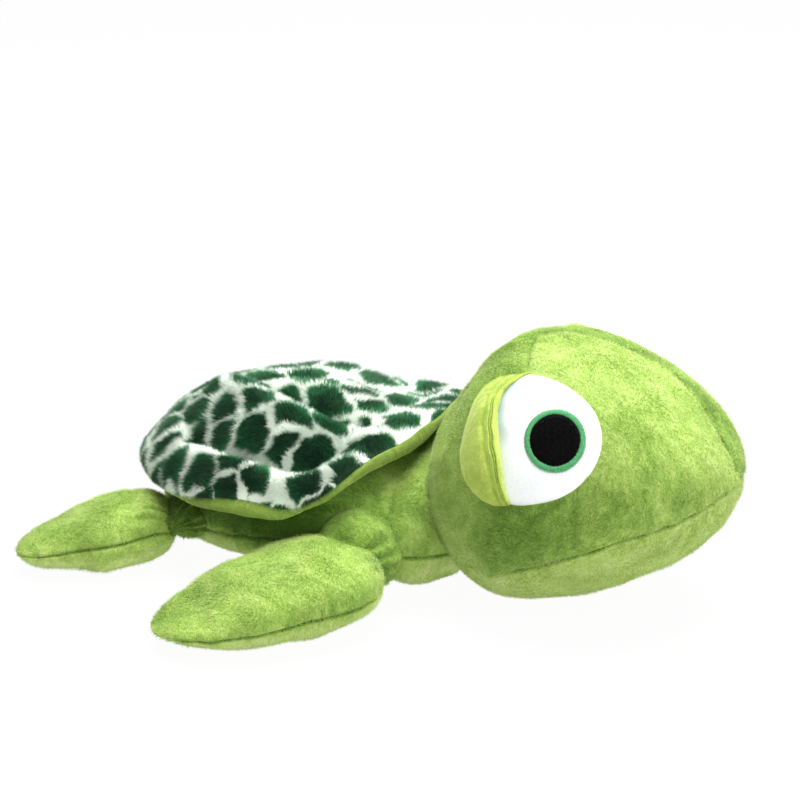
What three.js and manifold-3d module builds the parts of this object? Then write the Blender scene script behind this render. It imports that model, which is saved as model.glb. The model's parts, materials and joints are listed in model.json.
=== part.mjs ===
// A stuffed sea turtle that lies on its belly with its chin on the ground.
// Millimetres, +Z up, nose towards +X, its left side towards +Y.
// The origin is on the ground, in the middle of the flat patch that the belly rests on.
//
// The toy is sewn from short-pile plush over loose fibre stuffing. Its covers are thin skins,
// the stuffing inside each is a solid of its own, and a seam is a narrow gap between two skins.
// The right side is built, and the left side is its mirror image.
import * as THREE from 'three';
import { mergeVertices } from 'three/addons/utils/BufferGeometryUtils.js';
import Module from 'manifold-3d';

const wasm = await Module();
wasm.setup();

// Cloth, seams and the gaps between pieces that touch
const clearance = 0.3;
const plush = 1.6;
const groundCut = 0.5;
const cutOverrun = 20;

// Body, from its rear end to the end that the head is sewn to
const bodyLength = 190;
const bodyRear = 84;
const bodyWidth = 154;
const backHeight = 77;
const sideSeamHeight = 29;

// Neck, a short round lobe of stuffing that the head turns and nods about, in degrees
const neckRadius = 34;
const neckForward = 100;
const neckHeight = 46;
const neckSwing = 2;
const headTurnAngle = 10;
const headNodAngle = { up: 4, down: 8 };

// Head
const headLength = 166;
const headStart = 92;
const headWidth = 156;
const headHeight = 142;

// Shell, a thin padded cape that lies on the back
const shellWidth = 184;
const shellFront = 93;
const shellRear = 92;
const shellMiddle = -3;
const shellTop = 94;
const shellDip = 10;
const shellRimHeight = 90;
const shellRimThickness = 10;
const furCloth = 2.4;

// Soft folds of the shell's upper side: how far each stands up, or lies deep where it is negative,
// and how far it reaches to each side of its path
const shellFolds = {
  nearRidge: { height: 5, reach: 11 },
  nearHollow: { height: -5.5, reach: 8.5 },
  farRidge: { height: 3, reach: 10 },
  farHollow: { height: -5, reach: 8 },
  farSlope: { height: -2, reach: 16 },
  rightCrease: { height: -7, reach: 8 },
  dimple: { height: -4, reach: 10 },
  rimRoll: { height: 2.5, reach: 9 },
  leftCrease: { height: -6, reach: 8 },
  rearHollow: { height: -4, reach: 10 },
};

// Eyes, sewn on flat: a white disc, a stitched ring and pupil, and a padded lid.
// eyeTiltAngle is the angle in degrees that their upright leans back.
const whiteRadius = 34;
const whiteShift = 10.5;
const whiteRise = 4.5;
const ringRadius = 15.4;
const pupilRadius = 12.3;
const appliqueLift = 0.6;
const appliqueThickness = 1;
const lidRadius = 38;
const lidThickness = 6;
const eyeTiltAngle = 15;

// Flippers. Each is gathered into a round root, and swings about the middle of that root.
// sweepAngle is the angle in degrees that it points back from straight out.
const frontFlipper = {
  length: 124, chord: 81, shoulder: 23, tipDrop: 14, rootRadius: 11, swing: 5, sweepAngle: 46,
};
const rearFlipper = {
  length: 90, chord: 57, shoulder: 22, tipDrop: 6, rootRadius: 8, swing: 4, sweepAngle: 59,
};

// Proportions, as shares of the sizes above. fullest is where along its length a form is widest,
// and blunt is how square its ends are: 0.5 is an ellipse, and less is blunter.
const bodyShares = {
  fullest: 0.56, bluntRear: 0.5, bluntFront: 0.16, fullestBelly: 0.46, bluntBelly: 0.3, bluntThroat: 0.1, round: 0.86,
};
const sideSeamShares = [[0, 0.55], [0.34, 0.83], [0.58, 1.1], [0.94, 0.97], [1, 0.95]];
const headShares = {
  fullestTop: 0.385, bluntTop: 0.55, fullestSide: 0.42, bluntSide: 0.5, fullestChin: 0.34, bluntChin: 0.55,
  round: 0.92,
};
const headMiddleShares = [[0, 0.42], [0.5, 0.5], [1, 0.56]];
const chinSeamShares = [[0, 0.13], [0.1, 0.16], [0.33, 0.23], [0.49, 0.31], [0.72, 0.42], [0.9, 0.49], [1, 0.54]];
const eyePlaceShares = { along: 0.52, turn: 0.095 };
const lidEdgeShares = [[0, 1], [0.1, 0.82], [0.2, 0.765], [0.45, 0.52], [0.73, 0.56], [0.915, 0.79], [1, 1]];
const lidSpanShares = { from: 0.28, to: 0.68 };
const shellRimShares = [[0, 1], [0.2, 0.92], [0.36, 0.74], [0.5, 0.64], [0.7, 0.56], [1, 0.45]];
const shellOutlineShares = { front: 0.8, rear: 1.18, dome: 3, edge: 14 };
const shellDipShares = { along: 0.62, reach: 0.3 };
const shellRingShares = [0.13, 0.26, 0.38, 0.49, 0.59, 0.68, 0.76, 0.84, 0.92, 1];
const shellFoldShares = {
  nearRidge: [[-0.37, -0.26], [-0.09, -0.34], [0.22, -0.42], [0.47, -0.45], [0.67, -0.46]],
  nearHollow: [[-0.13, -0.16], [0.13, -0.24], [0.34, -0.28], [0.56, -0.28]],
  farRidge: [[-0.39, -0.22], [-0.15, -0.16], [0.11, -0.03], [0.34, 0.15], [0.54, 0.24]],
  farHollow: [[-0.22, 0.03], [0.04, 0.12], [0.28, 0.3], [0.47, 0.4]],
  farSlope: [[-0.11, 0.37], [0.22, 0.48], [0.54, 0.5]],
  rightCrease: [[-0.37, -0.57], [-0.13, -0.68], [0.09, -0.72], [0.3, -0.73], [0.45, -0.67], [0.6, -0.54]],
  dimple: [[-0.32, -0.54], [-0.45, -0.43]],
  rimRoll: [[-0.43, -0.78], [-0.13, -0.85], [0.11, -0.87], [0.32, -0.86], [0.47, -0.79], [0.62, -0.63]],
  leftCrease: [[-0.49, 0.54], [-0.22, 0.7], [0.09, 0.76], [0.39, 0.72], [0.6, 0.54]],
  rearHollow: [[-0.54, -0.04], [-0.75, -0.11], [-0.92, -0.22]],
};
const flipperShares = {
  fullestChord: 0.4, bluntChord: 0.45, fullestTop: 0.22, bluntTop: 0.8, fullestBelly: 0.4, bluntBelly: 0.35,
  round: 0.9, opening: 0.6,
};
const frontRootShares = { along: 0.87, turn: -0.01 };
const rearRootShares = { along: 0.23, turn: -0.01 };

// How finely the forms are faceted
const bodyStations = 9;
const bodySides = 16;
const headStations = 10;
const headSides = 20;
const flipperStations = 6;
const flipperSides = 12;
const neckSides = 22;
const rootSides = 14;
const shellSides = 36;
const eyeSides = 16;
const lidStations = 12;
const lidSides = 10;
const seamStations = 8;

const lime = new THREE.MeshStandardMaterial({ color: 0x8db24a, roughness: 0.95, metalness: 0 });
const limeLining = new THREE.MeshStandardMaterial({ color: 0x9ab54e, roughness: 0.95, metalness: 0 });
const lidPlush = new THREE.MeshStandardMaterial({ color: 0xb4cf62, roughness: 0.95, metalness: 0 });
const fur = new THREE.MeshStandardMaterial({ color: 0x2c7a48, roughness: 1, metalness: 0 });
const fibre = new THREE.MeshStandardMaterial({ color: 0xf2f0ea, roughness: 1, metalness: 0 });
const whiteSatin = new THREE.MeshStandardMaterial({ color: 0xf6f8f6, roughness: 0.6, metalness: 0 });
const greenThread = new THREE.MeshStandardMaterial({ color: 0x4ca866, roughness: 0.5, metalness: 0 });
const blackThread = new THREE.MeshStandardMaterial({ color: 0x141414, roughness: 0.5, metalness: 0 });

// Turns a surface's faces outwards where they point inwards
function outward(surface) {
  const position = surface.attributes.position;
  const index = surface.index;
  const [a, b, c] = [new THREE.Vector3(), new THREE.Vector3(), new THREE.Vector3()];
  let volume = 0;
  for (let i = 0; i < index.count; i += 3) {
    a.fromBufferAttribute(position, index.getX(i));
    b.fromBufferAttribute(position, index.getX(i + 1));
    c.fromBufferAttribute(position, index.getX(i + 2));
    volume += a.dot(b.cross(c));
  }
  if (volume < 0) {
    for (let i = 0; i < index.count; i += 3) {
      const first = index.getX(i);
      index.setX(i, index.getX(i + 1));
      index.setX(i + 1, first);
    }
  }
  return surface;
}

function surfaceFrom(points, faces) {
  const surface = new THREE.BufferGeometry();
  const places = points.flatMap((point) => point.toArray());
  surface.setAttribute('position', new THREE.Float32BufferAttribute(places, 3));
  surface.setIndex(faces);
  return outward(surface);
}

// The faces of one band between two neighbouring loops of points. Its quads are split
// one way, or the other way where they go back over a band that was split before.
function bandFaces(lower, upper, count, goesBack) {
  const faces = [];
  for (let k = 0; k < count; k += 1) {
    const next = (k + 1) % count;
    if (goesBack) {
      faces.push(lower + k, lower + next, upper + k);
      faces.push(lower + next, upper + next, upper + k);
    } else {
      faces.push(lower + k, lower + next, upper + next);
      faces.push(lower + k, upper + next, upper + k);
    }
  }
  return faces;
}

// A closed surface through loops of points, with a single point at each end
function throughLoops(start, loops, end) {
  const points = [start, ...loops.flat(), end];
  const count = loops[0].length;
  const lastLoop = 1 + (loops.length - 1) * count;
  const halfway = loops.length / 2;
  const faces = [];
  for (let k = 0; k < count; k += 1) {
    const next = (k + 1) % count;
    faces.push(0, 1 + next, 1 + k);
    faces.push(points.length - 1, lastLoop + k, lastLoop + next);
  }
  for (let row = 1; row < loops.length; row += 1) {
    faces.push(...bandFaces(1 + (row - 1) * count, 1 + row * count, count, row >= halfway));
  }
  return surfaceFrom(points, faces);
}

// A closed surface through loops of points, joined end to end like a tyre
function aroundLoops(loops) {
  const count = loops[0].length;
  const faces = loops.flatMap((loop, row) => (
    bandFaces(row * count, ((row + 1) % loops.length) * count, count, false)
  ));
  return surfaceFrom(loops.flat(), faces);
}

// Solids for cutting and joining, and back again
function solid(surface) {
  const bare = surface.clone();
  bare.deleteAttribute('normal');
  bare.deleteAttribute('uv');
  const merged = mergeVertices(bare);
  const vertProperties = merged.attributes.position.array;
  const triVerts = new Uint32Array(merged.index.array);
  return new wasm.Manifold(new wasm.Mesh({ numProp: 3, vertProperties, triVerts }));
}

function surfaceOf(body) {
  const { vertProperties, triVerts } = body.getMesh();
  const surface = new THREE.BufferGeometry();
  surface.setAttribute('position', new THREE.BufferAttribute(vertProperties, 3));
  surface.setIndex(new THREE.BufferAttribute(triVerts, 1));
  return surface;
}

// A smooth line through hand-chosen pairs of place and value
function smoothLine(shares) {
  const places = shares.map(([place]) => place);
  const values = shares.map(([, value]) => value);
  const line = new THREE.CubicInterpolant(places, values, 1);
  return (place) => line.evaluate(place)[0];
}

// How full a stuffed form is along its length: nothing at both ends, and 1 at its fullest place
function fullness(share, fullest, blunt) {
  const bend = Math.log(0.5) / Math.log(fullest);
  return Math.max(0, Math.sin(Math.PI * share ** bend)) ** blunt;
}

function rounded(value, round) {
  return Math.sign(value) * Math.abs(value) ** round;
}

// A point on a stuffed form, or inset below its surface. turn is a share of the way round,
// from the right-hand side over the top to the left and back underneath.
function formPoint(form, share, turn, inset) {
  const sine = Math.sin(2 * Math.PI * turn);
  const cosine = Math.cos(2 * Math.PI * turn);
  const tall = sine > 0
    ? form.rise(share) * (1 - inset / form.most.rise)
    : form.drop(share) * (1 - inset / form.most.drop);
  return new THREE.Vector3(
    form.start + inset + (form.length - 2 * inset) * share,
    -form.half(share) * (1 - inset / form.most.half) * rounded(cosine, form.round),
    form.middle(share) + tall * rounded(sine, form.round),
  );
}

// A stuffed form as a closed surface
function stuffed(form, inset) {
  const loops = [];
  for (let row = 1; row < form.stations; row += 1) {
    const share = (1 - Math.cos((Math.PI * row) / form.stations)) / 2;
    loops.push(Array.from({ length: form.sides }, (_, k) => formPoint(form, share, k / form.sides, inset)));
  }
  return throughLoops(formPoint(form, 0, 0, inset), loops, formPoint(form, 1, 0, inset));
}

// A point at a distance out from a form's surface, with its directions forward, up and out
function formFrame(form, share, turn) {
  const step = 1e-3;
  const point = formPoint(form, share, turn, 0);
  const forward = formPoint(form, share + step, turn, 0).sub(point).normalize();
  const around = formPoint(form, share, turn + step, 0).sub(point).normalize();
  const out = forward.clone().cross(around).normalize();
  return { point, forward, up: out.clone().cross(forward), out };
}

// A long bar under a line that runs from end to end of a form, as a cutter.
// height gives the line along the form's share, and lift raises or lowers it.
function under(form, height, lift) {
  const outline = new THREE.Shape();
  const depth = form.most.drop + cutOverrun;
  outline.moveTo(form.start - cutOverrun, height(0) + lift);
  for (let i = 0; i <= seamStations; i += 1) {
    const share = i / seamStations;
    outline.lineTo(form.start + form.length * share, height(share) + lift);
  }
  outline.lineTo(form.start + form.length + cutOverrun, height(1) + lift);
  outline.lineTo(form.start + form.length + cutOverrun, height(1) - depth);
  outline.lineTo(form.start - cutOverrun, height(0) - depth);
  const span = form.most.half + cutOverrun;
  const bar = new THREE.ExtrudeGeometry(outline, { depth: 2 * span, bevelEnabled: false });
  bar.rotateX(Math.PI / 2);
  bar.translate(0, span, 0);
  return solid(bar);
}

// A box that reaches far past a form on one side of a plane, as a cutter
function farBox(low, high) {
  const size = high.clone().sub(low);
  const box = new THREE.BoxGeometry(size.x, size.y, size.z);
  const middle = low.clone().add(high).multiplyScalar(0.5);
  box.translate(middle.x, middle.y, middle.z);
  return solid(box);
}

function ball(radius, middle, sides) {
  const shape = new THREE.SphereGeometry(radius, sides, sides / 2);
  shape.translate(middle.x, middle.y, middle.z);
  return shape;
}

// The hollow that a ball turns in, with its flat faces outside the ball's radius
function socket(radius, middle, sides) {
  const flatness = Math.cos(Math.PI / sides) ** 2;
  return solid(ball((radius + clearance) / flatness, middle, sides));
}

function mirrored(surface) {
  const copy = surface.clone();
  copy.scale(1, -1, 1);
  return outward(copy);
}

function piece(name, surface, material) {
  const mesh = new THREE.Mesh(surface, material);
  mesh.name = name;
  return mesh;
}

// Body: stuffing in two covers that meet at the side seam
const sideSeam = smoothLine(sideSeamShares);
const body = {
  start: -bodyRear,
  length: bodyLength,
  stations: bodyStations,
  sides: bodySides,
  round: bodyShares.round,
  most: { half: bodyWidth / 2, rise: backHeight - sideSeamHeight, drop: sideSeamHeight + groundCut },
  full: (share) => {
    const blunt = bodyShares.bluntRear + (bodyShares.bluntFront - bodyShares.bluntRear) * share;
    return fullness(share, bodyShares.fullest, blunt);
  },
  low: (share) => {
    const blunt = bodyShares.bluntBelly + (bodyShares.bluntThroat - bodyShares.bluntBelly) * share;
    return fullness(share, bodyShares.fullestBelly, blunt);
  },
  half: (share) => (bodyWidth / 2) * body.full(share),
  middle: (share) => sideSeamHeight * sideSeam(share),
  rise: (share) => (backHeight - body.middle(share)) * body.full(share),
  drop: (share) => (body.middle(share) + groundCut) * body.low(share),
};

// Head: one round form from the neck to the tip of the snout
const headMiddle = smoothLine(headMiddleShares);
const chinSeam = smoothLine(chinSeamShares);
const head = {
  start: headStart,
  length: headLength,
  stations: headStations,
  sides: headSides,
  round: headShares.round,
  most: { half: headWidth / 2, rise: headHeight / 2, drop: headHeight / 2 },
  half: (share) => (headWidth / 2) * fullness(share, headShares.fullestSide, headShares.bluntSide),
  middle: (share) => headHeight * headMiddle(share),
  rise: (share) => (headHeight - head.middle(share)) * fullness(share, headShares.fullestTop, headShares.bluntTop),
  drop: (share) => (head.middle(share) + groundCut)
    * fullness(share, headShares.fullestChin, headShares.bluntChin),
};

// The height of the back over a place on the ground, or nothing beside the body
function backTop(x, y) {
  const share = (x - body.start) / body.length;
  if (share <= 0 || share >= 1) return 0;
  const across = Math.abs(y) / body.half(share);
  if (across >= 1) return 0;
  const cosine = across ** (1 / body.round);
  return body.middle(share) + body.rise(share) * Math.sqrt(1 - cosine * cosine) ** body.round;
}

// How far the body's facets lie inside its smooth form. What rests on the body sinks by this much.
const bodySink = (bodyWidth / 4) * (1 - Math.cos(Math.PI / bodySides));

const far = bodyLength + headLength;
const aboveGround = farBox(new THREE.Vector3(-far, -far, 0), new THREE.Vector3(far, far, far));
const neckMiddle = new THREE.Vector3(neckForward, 0, neckHeight);
const neckSocket = socket(neckRadius, neckMiddle, neckSides);

// The head as it lies when it is turned and nodded about the middle of the neck, with room round it
function swungHead(turn, nod) {
  const surface = stuffed(head, -neckSwing);
  surface.translate(-neckMiddle.x, -neckMiddle.y, -neckMiddle.z);
  surface.rotateY(THREE.MathUtils.degToRad(nod));
  surface.rotateZ(THREE.MathUtils.degToRad(turn));
  surface.translate(neckMiddle.x, neckMiddle.y, neckMiddle.z);
  return solid(surface);
}

// The body is cut clear of the neck and of the head's swing
const headSwing = [-headTurnAngle, 0, headTurnAngle]
  .flatMap((turn) => [swungHead(turn, -headNodAngle.up), swungHead(turn, headNodAngle.down)])
  .reduce((sum, swung) => sum.add(swung));
const bodyCutters = neckSocket.add(headSwing);
const bodySkin = solid(stuffed(body, 0)).subtract(solid(stuffed(body, plush)))
  .subtract(bodyCutters).intersect(aboveGround);
const bodyFill = solid(stuffed(body, plush + clearance)).subtract(bodyCutters).intersect(aboveGround);
const backCover = bodySkin.subtract(under(body, body.middle, clearance / 2));
const bellyCover = bodySkin.intersect(under(body, body.middle, -clearance / 2));

// Shell: a fur cover and a plush lining sewn together round the rim, with wadding between them
const rimLine = smoothLine(shellRimShares);

function shellPoint(ring, side, height) {
  const turn = (2 * Math.PI * side) / shellSides;
  const ahead = Math.cos(turn) > 0;
  const square = ahead ? shellOutlineShares.front : shellOutlineShares.rear;
  const reach = ahead ? shellFront : shellRear;
  const x = shellMiddle + ring * reach * rounded(Math.cos(turn), square);
  const y = ring * (shellWidth / 2) * rounded(Math.sin(turn), square);
  const around = Math.abs(Math.atan2(Math.sin(turn), Math.cos(turn))) / Math.PI;
  const rim = shellRimHeight * rimLine(around);
  return new THREE.Vector3(x, y, height(x, y, rim, ring));
}

const shellFoldPaths = Object.entries(shellFoldShares).map(([name, shares]) => ({
  ...shellFolds[name],
  path: shares.map(([along, across]) => new THREE.Vector3(along * shellFront, (across * shellWidth) / 2, 0)),
}));

// How far a place lies from a path of straight runs
function awayFrom(place, path) {
  const runs = path.slice(1).map((end, k) => new THREE.Line3(path[k], end));
  return Math.min(...runs.map((run) => (
    run.closestPointToPoint(place, true, new THREE.Vector3()).distanceTo(place))));
}

function foldHeight(x, y) {
  const place = new THREE.Vector3(x, y, 0);
  return shellFoldPaths.reduce((sum, { height, reach, path }) => {
    const share = awayFrom(place, path) / reach;
    return sum + height * Math.exp(-share * share);
  }, 0);
}

// The upper side domes over the back, dips across it where it meets the neck, and lies in folds
// that end before its edge
function shellUpper(x, y, rim, ring) {
  const dome = 1 - ring ** shellOutlineShares.dome;
  const fromDip = (x - shellDipShares.along * shellFront) / (shellDipShares.reach * shellFront);
  const smooth = rim + (shellTop - rim - shellDip * Math.exp(-fromDip * fromDip)) * dome;
  return smooth + foldHeight(x, y) * (1 - ring ** shellOutlineShares.edge);
}

function shellLower(x, y, rim, ring) {
  return Math.max(backTop(x, y) + 2 * clearance - bodySink, shellUpper(x, y, rim, ring) - shellRimThickness);
}

function rimSeam(rim) {
  return rim - shellRimThickness / 2;
}

// One layer of the shell between two height rules
function shellLayer(rings, lower, upper) {
  const loop = (ring, height) => Array.from({ length: shellSides }, (_, side) => shellPoint(ring, side, height));
  const loops = rings.map((ring) => loop(ring, upper));
  loops.push(...rings.toReversed().map((ring) => loop(ring, lower)));
  return throughLoops(shellPoint(0, 0, upper), loops, shellPoint(0, 0, lower));
}

const innerRings = shellRingShares.slice(0, -1);
const shellCover = shellLayer(
  shellRingShares,
  (x, y, rim, ring) => (ring < 1 ? shellUpper(x, y, rim, ring) - furCloth : rimSeam(rim) + clearance / 2),
  shellUpper,
);
const shellLining = shellLayer(
  shellRingShares,
  shellLower,
  (x, y, rim, ring) => (ring < 1 ? shellLower(x, y, rim, ring) + plush : rimSeam(rim) - clearance / 2),
);
const shellWadding = shellLayer(
  innerRings,
  (x, y, rim, ring) => shellLower(x, y, rim, ring) + plush + clearance,
  (x, y, rim, ring) => shellUpper(x, y, rim, ring) - furCloth - clearance,
);

// Head: two side panels that meet along the middle of the face, over a chin panel
const chinHeight = (share) => headHeight * chinSeam(share);
const headSkin = solid(stuffed(head, 0)).subtract(solid(stuffed(head, plush)))
  .subtract(neckSocket).intersect(aboveGround);
const headFill = solid(stuffed(head, plush + clearance)).subtract(neckSocket).intersect(aboveGround);
const sidePanels = headSkin.subtract(under(head, chinHeight, clearance / 2));
const rightHalf = farBox(new THREE.Vector3(-far, -far, -far), new THREE.Vector3(far, -clearance / 2, far));
const leftHalf = farBox(new THREE.Vector3(-far, clearance / 2, -far), new THREE.Vector3(far, far, far));
const chinCover = headSkin.intersect(under(head, chinHeight, -clearance / 2));

// Eyes lie on the side panels. A place is forward and up from the middle of the pupil,
// measured in the plane that touches the head there, and lifted out from the cloth.
const eyeFrame = formFrame(head, eyePlaceShares.along, eyePlaceShares.turn);
eyeFrame.forward.applyAxisAngle(eyeFrame.out, THREE.MathUtils.degToRad(eyeTiltAngle));
eyeFrame.up.applyAxisAngle(eyeFrame.out, THREE.MathUtils.degToRad(eyeTiltAngle));
const pupilCentre = new THREE.Vector2(0, 0);
const whiteCentre = new THREE.Vector2(-whiteShift, whiteRise);

function onHead(forward, up, lift) {
  const step = 1e-3;
  const trial = { share: eyePlaceShares.along, turn: eyePlaceShares.turn };
  const flat = (share, turn) => {
    const offset = formPoint(head, share, turn, 0).sub(eyeFrame.point);
    return new THREE.Vector2(offset.dot(eyeFrame.forward) - forward, offset.dot(eyeFrame.up) - up);
  };
  for (let round = 0; round < 8; round += 1) {
    const miss = flat(trial.share, trial.turn);
    const bySharing = flat(trial.share + step, trial.turn).sub(miss).divideScalar(step);
    const byTurning = flat(trial.share, trial.turn + step).sub(miss).divideScalar(step);
    const area = bySharing.cross(byTurning);
    trial.share -= miss.cross(byTurning) / area;
    trial.turn -= bySharing.cross(miss) / area;
  }
  const place = formFrame(head, trial.share, trial.turn);
  return place.point.addScaledVector(place.out, lift);
}

function eyeLoop(radius, centre, lift) {
  return Array.from({ length: eyeSides }, (_, k) => {
    const turn = (2 * Math.PI * k) / eyeSides;
    return onHead(centre.x + radius * Math.cos(turn), centre.y + radius * Math.sin(turn), lift);
  });
}

// A flat round piece, and a flat ring, that follow the head
function disc(radius, centre, low, high) {
  const radii = [radius / 3, (2 * radius) / 3, radius];
  const loops = radii.map((r) => eyeLoop(r, centre, high));
  loops.push(...radii.toReversed().map((r) => eyeLoop(r, centre, low)));
  return throughLoops(onHead(centre.x, centre.y, high), loops, onHead(centre.x, centre.y, low));
}

function flatRing(inner, outer, low, high) {
  return aroundLoops([
    eyeLoop(inner, pupilCentre, low), eyeLoop(outer, pupilCentre, low),
    eyeLoop(outer, pupilCentre, high), eyeLoop(inner, pupilCentre, high),
  ]);
}

const whiteTop = appliqueLift + appliqueThickness;
const threadLow = whiteTop + clearance;
const threadHigh = threadLow + appliqueThickness;
const eyeWhite = disc(whiteRadius, whiteCentre, appliqueLift, whiteTop);
const eyeRing = flatRing(pupilRadius + clearance, ringRadius, threadLow, threadHigh);
const eyePupil = disc(pupilRadius, pupilCentre, threadLow, threadHigh);

// The lid is a padded crescent over the rear of the white, with its free edge towards the pupil
const lidEdge = smoothLine(lidEdgeShares);

function lidPoint(along, around) {
  const turn = 2 * Math.PI * (lidSpanShares.from + (lidSpanShares.to - lidSpanShares.from) * along);
  const inner = whiteRadius * lidEdge(along);
  const angle = 2 * Math.PI * around;
  const radius = inner + ((lidRadius - inner) * (1 - Math.cos(angle))) / 2;
  const taper = fullness(along, 0.5, 0.5);
  const puff = lidThickness * taper * Math.max(0, Math.sin(angle)) ** 0.6;
  const place = new THREE.Vector2(radius * Math.cos(turn), radius * Math.sin(turn)).add(whiteCentre);
  return onHead(place.x, place.y, whiteTop + clearance + puff);
}

const lidLoops = Array.from({ length: lidStations - 1 }, (_, row) => (
  Array.from({ length: lidSides }, (__, k) => lidPoint((row + 1) / lidStations, (k + 0.5) / lidSides))
));
const eyelid = throughLoops(lidPoint(0, 0.5), lidLoops, lidPoint(1, 0.5));

// Flippers, each in a frame of its own: from the middle of its root along +X, leading edge at +Y
function flipperForm(size) {
  const form = {
    start: 0,
    length: size.length,
    stations: flipperStations,
    sides: flipperSides,
    round: flipperShares.round,
    most: { half: size.chord / 2, rise: size.shoulder, drop: size.belly + groundCut },
    half: (share) => (size.chord / 2) * fullness(share, flipperShares.fullestChord, flipperShares.bluntChord),
    middle: (share) => -size.tipDrop * share,
    rise: (share) => size.shoulder * fullness(share, flipperShares.fullestTop, flipperShares.bluntTop),
    drop: (share) => (form.middle(share) + size.belly + groundCut)
      * fullness(share, flipperShares.fullestBelly, flipperShares.bluntBelly),
  };
  return form;
}

// The root stands off the body's side by its own radius. The flipper opens round it and is cut
// clear of the body and flat on the ground.
function flipper(size, rootShares) {
  const place = formFrame(body, rootShares.along, rootShares.turn);
  const middle = place.point.addScaledVector(place.out, size.rootRadius + clearance - bodySink);
  const group = new THREE.Group();
  group.position.copy(middle);
  group.rotation.z = -Math.PI / 2 - THREE.MathUtils.degToRad(size.sweepAngle);
  group.updateMatrixWorld();
  const bodyHere = stuffed(body, -size.swing);
  bodyHere.applyMatrix4(group.matrixWorld.clone().invert());
  const form = flipperForm({ ...size, belly: middle.z });
  const cutters = socket(size.rootRadius, new THREE.Vector3(), rootSides).add(solid(bodyHere));
  const nearest = new THREE.Vector3(size.rootRadius * flipperShares.opening, -far, -middle.z);
  const space = farBox(nearest, new THREE.Vector3(far, far, far)).subtract(cutters);
  const fill = solid(stuffed(form, plush + clearance)).intersect(space);
  const skin = solid(stuffed(form, 0)).subtract(solid(stuffed(form, plush))).intersect(space);
  return {
    group,
    root: ball(size.rootRadius, new THREE.Vector3(), rootSides),
    stuffing: surfaceOf(fill),
    upper_cover: surfaceOf(skin.subtract(under(form, form.middle, clearance / 2))),
    lower_cover: surfaceOf(skin.intersect(under(form, form.middle, -clearance / 2))),
  };
}

function addFlipper(toy, name, made) {
  const left = new THREE.Group();
  left.position.set(made.group.position.x, -made.group.position.y, made.group.position.z);
  left.rotation.z = -made.group.rotation.z;
  const materials = { root: lime, stuffing: fibre, upper_cover: lime, lower_cover: lime };
  Object.entries(materials).forEach(([part, material]) => {
    made.group.add(piece(`${name}_${part}_right`, made[part], material));
    left.add(piece(`${name}_${part}_left`, mirrored(made[part]), material));
  });
  toy.add(made.group, left);
}

const turtle = new THREE.Group();
turtle.name = 'plush_turtle';
turtle.add(
  piece('body_stuffing', surfaceOf(bodyFill), fibre),
  piece('back_cover', surfaceOf(backCover), lime),
  piece('belly_cover', surfaceOf(bellyCover), lime),
  piece('shell_cover', shellCover, fur),
  piece('shell_wadding', shellWadding, fibre),
  piece('shell_lining', shellLining, limeLining),
  piece('neck_stuffing', ball(neckRadius, neckMiddle, neckSides), fibre),
  piece('head_stuffing', surfaceOf(headFill), fibre),
  piece('head_side_right', surfaceOf(sidePanels.intersect(rightHalf)), lime),
  piece('head_side_left', surfaceOf(sidePanels.intersect(leftHalf)), lime),
  piece('chin_cover', surfaceOf(chinCover), lime),
);
const eyePieces = { eye_white: eyeWhite, eye_ring: eyeRing, eye_pupil: eyePupil, eyelid };
const eyeMaterials = { eye_white: whiteSatin, eye_ring: greenThread, eye_pupil: blackThread, eyelid: lidPlush };
Object.entries(eyePieces).forEach(([name, surface]) => {
  turtle.add(piece(`${name}_right`, surface, eyeMaterials[name]));
  turtle.add(piece(`${name}_left`, mirrored(surface), eyeMaterials[name]));
});
addFlipper(turtle, 'front_flipper', flipper(frontFlipper, frontRootShares));
addFlipper(turtle, 'rear_flipper', flipper(rearFlipper, rearRootShares));

export default turtle;
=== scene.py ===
import json
import math

import bpy
import numpy as np
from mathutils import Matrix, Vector
from mathutils.bvhtree import BVHTree


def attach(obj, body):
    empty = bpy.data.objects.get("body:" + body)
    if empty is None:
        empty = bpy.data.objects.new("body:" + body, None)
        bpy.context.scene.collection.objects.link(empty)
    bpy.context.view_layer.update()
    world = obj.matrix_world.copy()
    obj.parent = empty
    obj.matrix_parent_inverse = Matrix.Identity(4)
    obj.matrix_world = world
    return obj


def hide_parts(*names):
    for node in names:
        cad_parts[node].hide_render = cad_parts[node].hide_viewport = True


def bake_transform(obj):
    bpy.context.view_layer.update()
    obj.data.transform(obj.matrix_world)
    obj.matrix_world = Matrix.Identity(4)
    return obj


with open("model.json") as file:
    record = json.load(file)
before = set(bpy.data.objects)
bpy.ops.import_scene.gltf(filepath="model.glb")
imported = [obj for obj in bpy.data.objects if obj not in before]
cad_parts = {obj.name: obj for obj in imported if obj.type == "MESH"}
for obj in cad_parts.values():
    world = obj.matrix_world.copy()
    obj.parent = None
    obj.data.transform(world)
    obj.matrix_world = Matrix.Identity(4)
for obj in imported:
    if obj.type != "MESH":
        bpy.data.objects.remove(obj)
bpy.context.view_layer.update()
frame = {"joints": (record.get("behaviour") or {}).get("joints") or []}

# Body: a stuffed bag of short-pile plush, sewn from a back and a belly panel.
# The two panels are sewn inside out along the side seam, which pulls in and puckers a little.
# It lies flat on the ground under the belly and ends just behind the head.
body_length, body_rear, body_half_width = 0.190, 0.084, 0.077
back_height, side_seam_height = 0.077, 0.029
back_full = {"fullest": 0.56, "rear": 0.5, "front": 0.16}
belly_full = {"fullest": 0.46, "rear": 0.3, "front": 0.1}
body_round = 0.86
ground_cut = 0.0005


def fullness(share, fullest, blunt):
    """How full a stuffed form is along its length: nothing at both ends, 1 at its fullest"""
    share = np.clip(share, 1e-9, 1 - 1e-9)
    bend = math.log(0.5) / math.log(fullest)
    return np.maximum(0, np.sin(math.pi * share ** bend)) ** blunt


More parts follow.
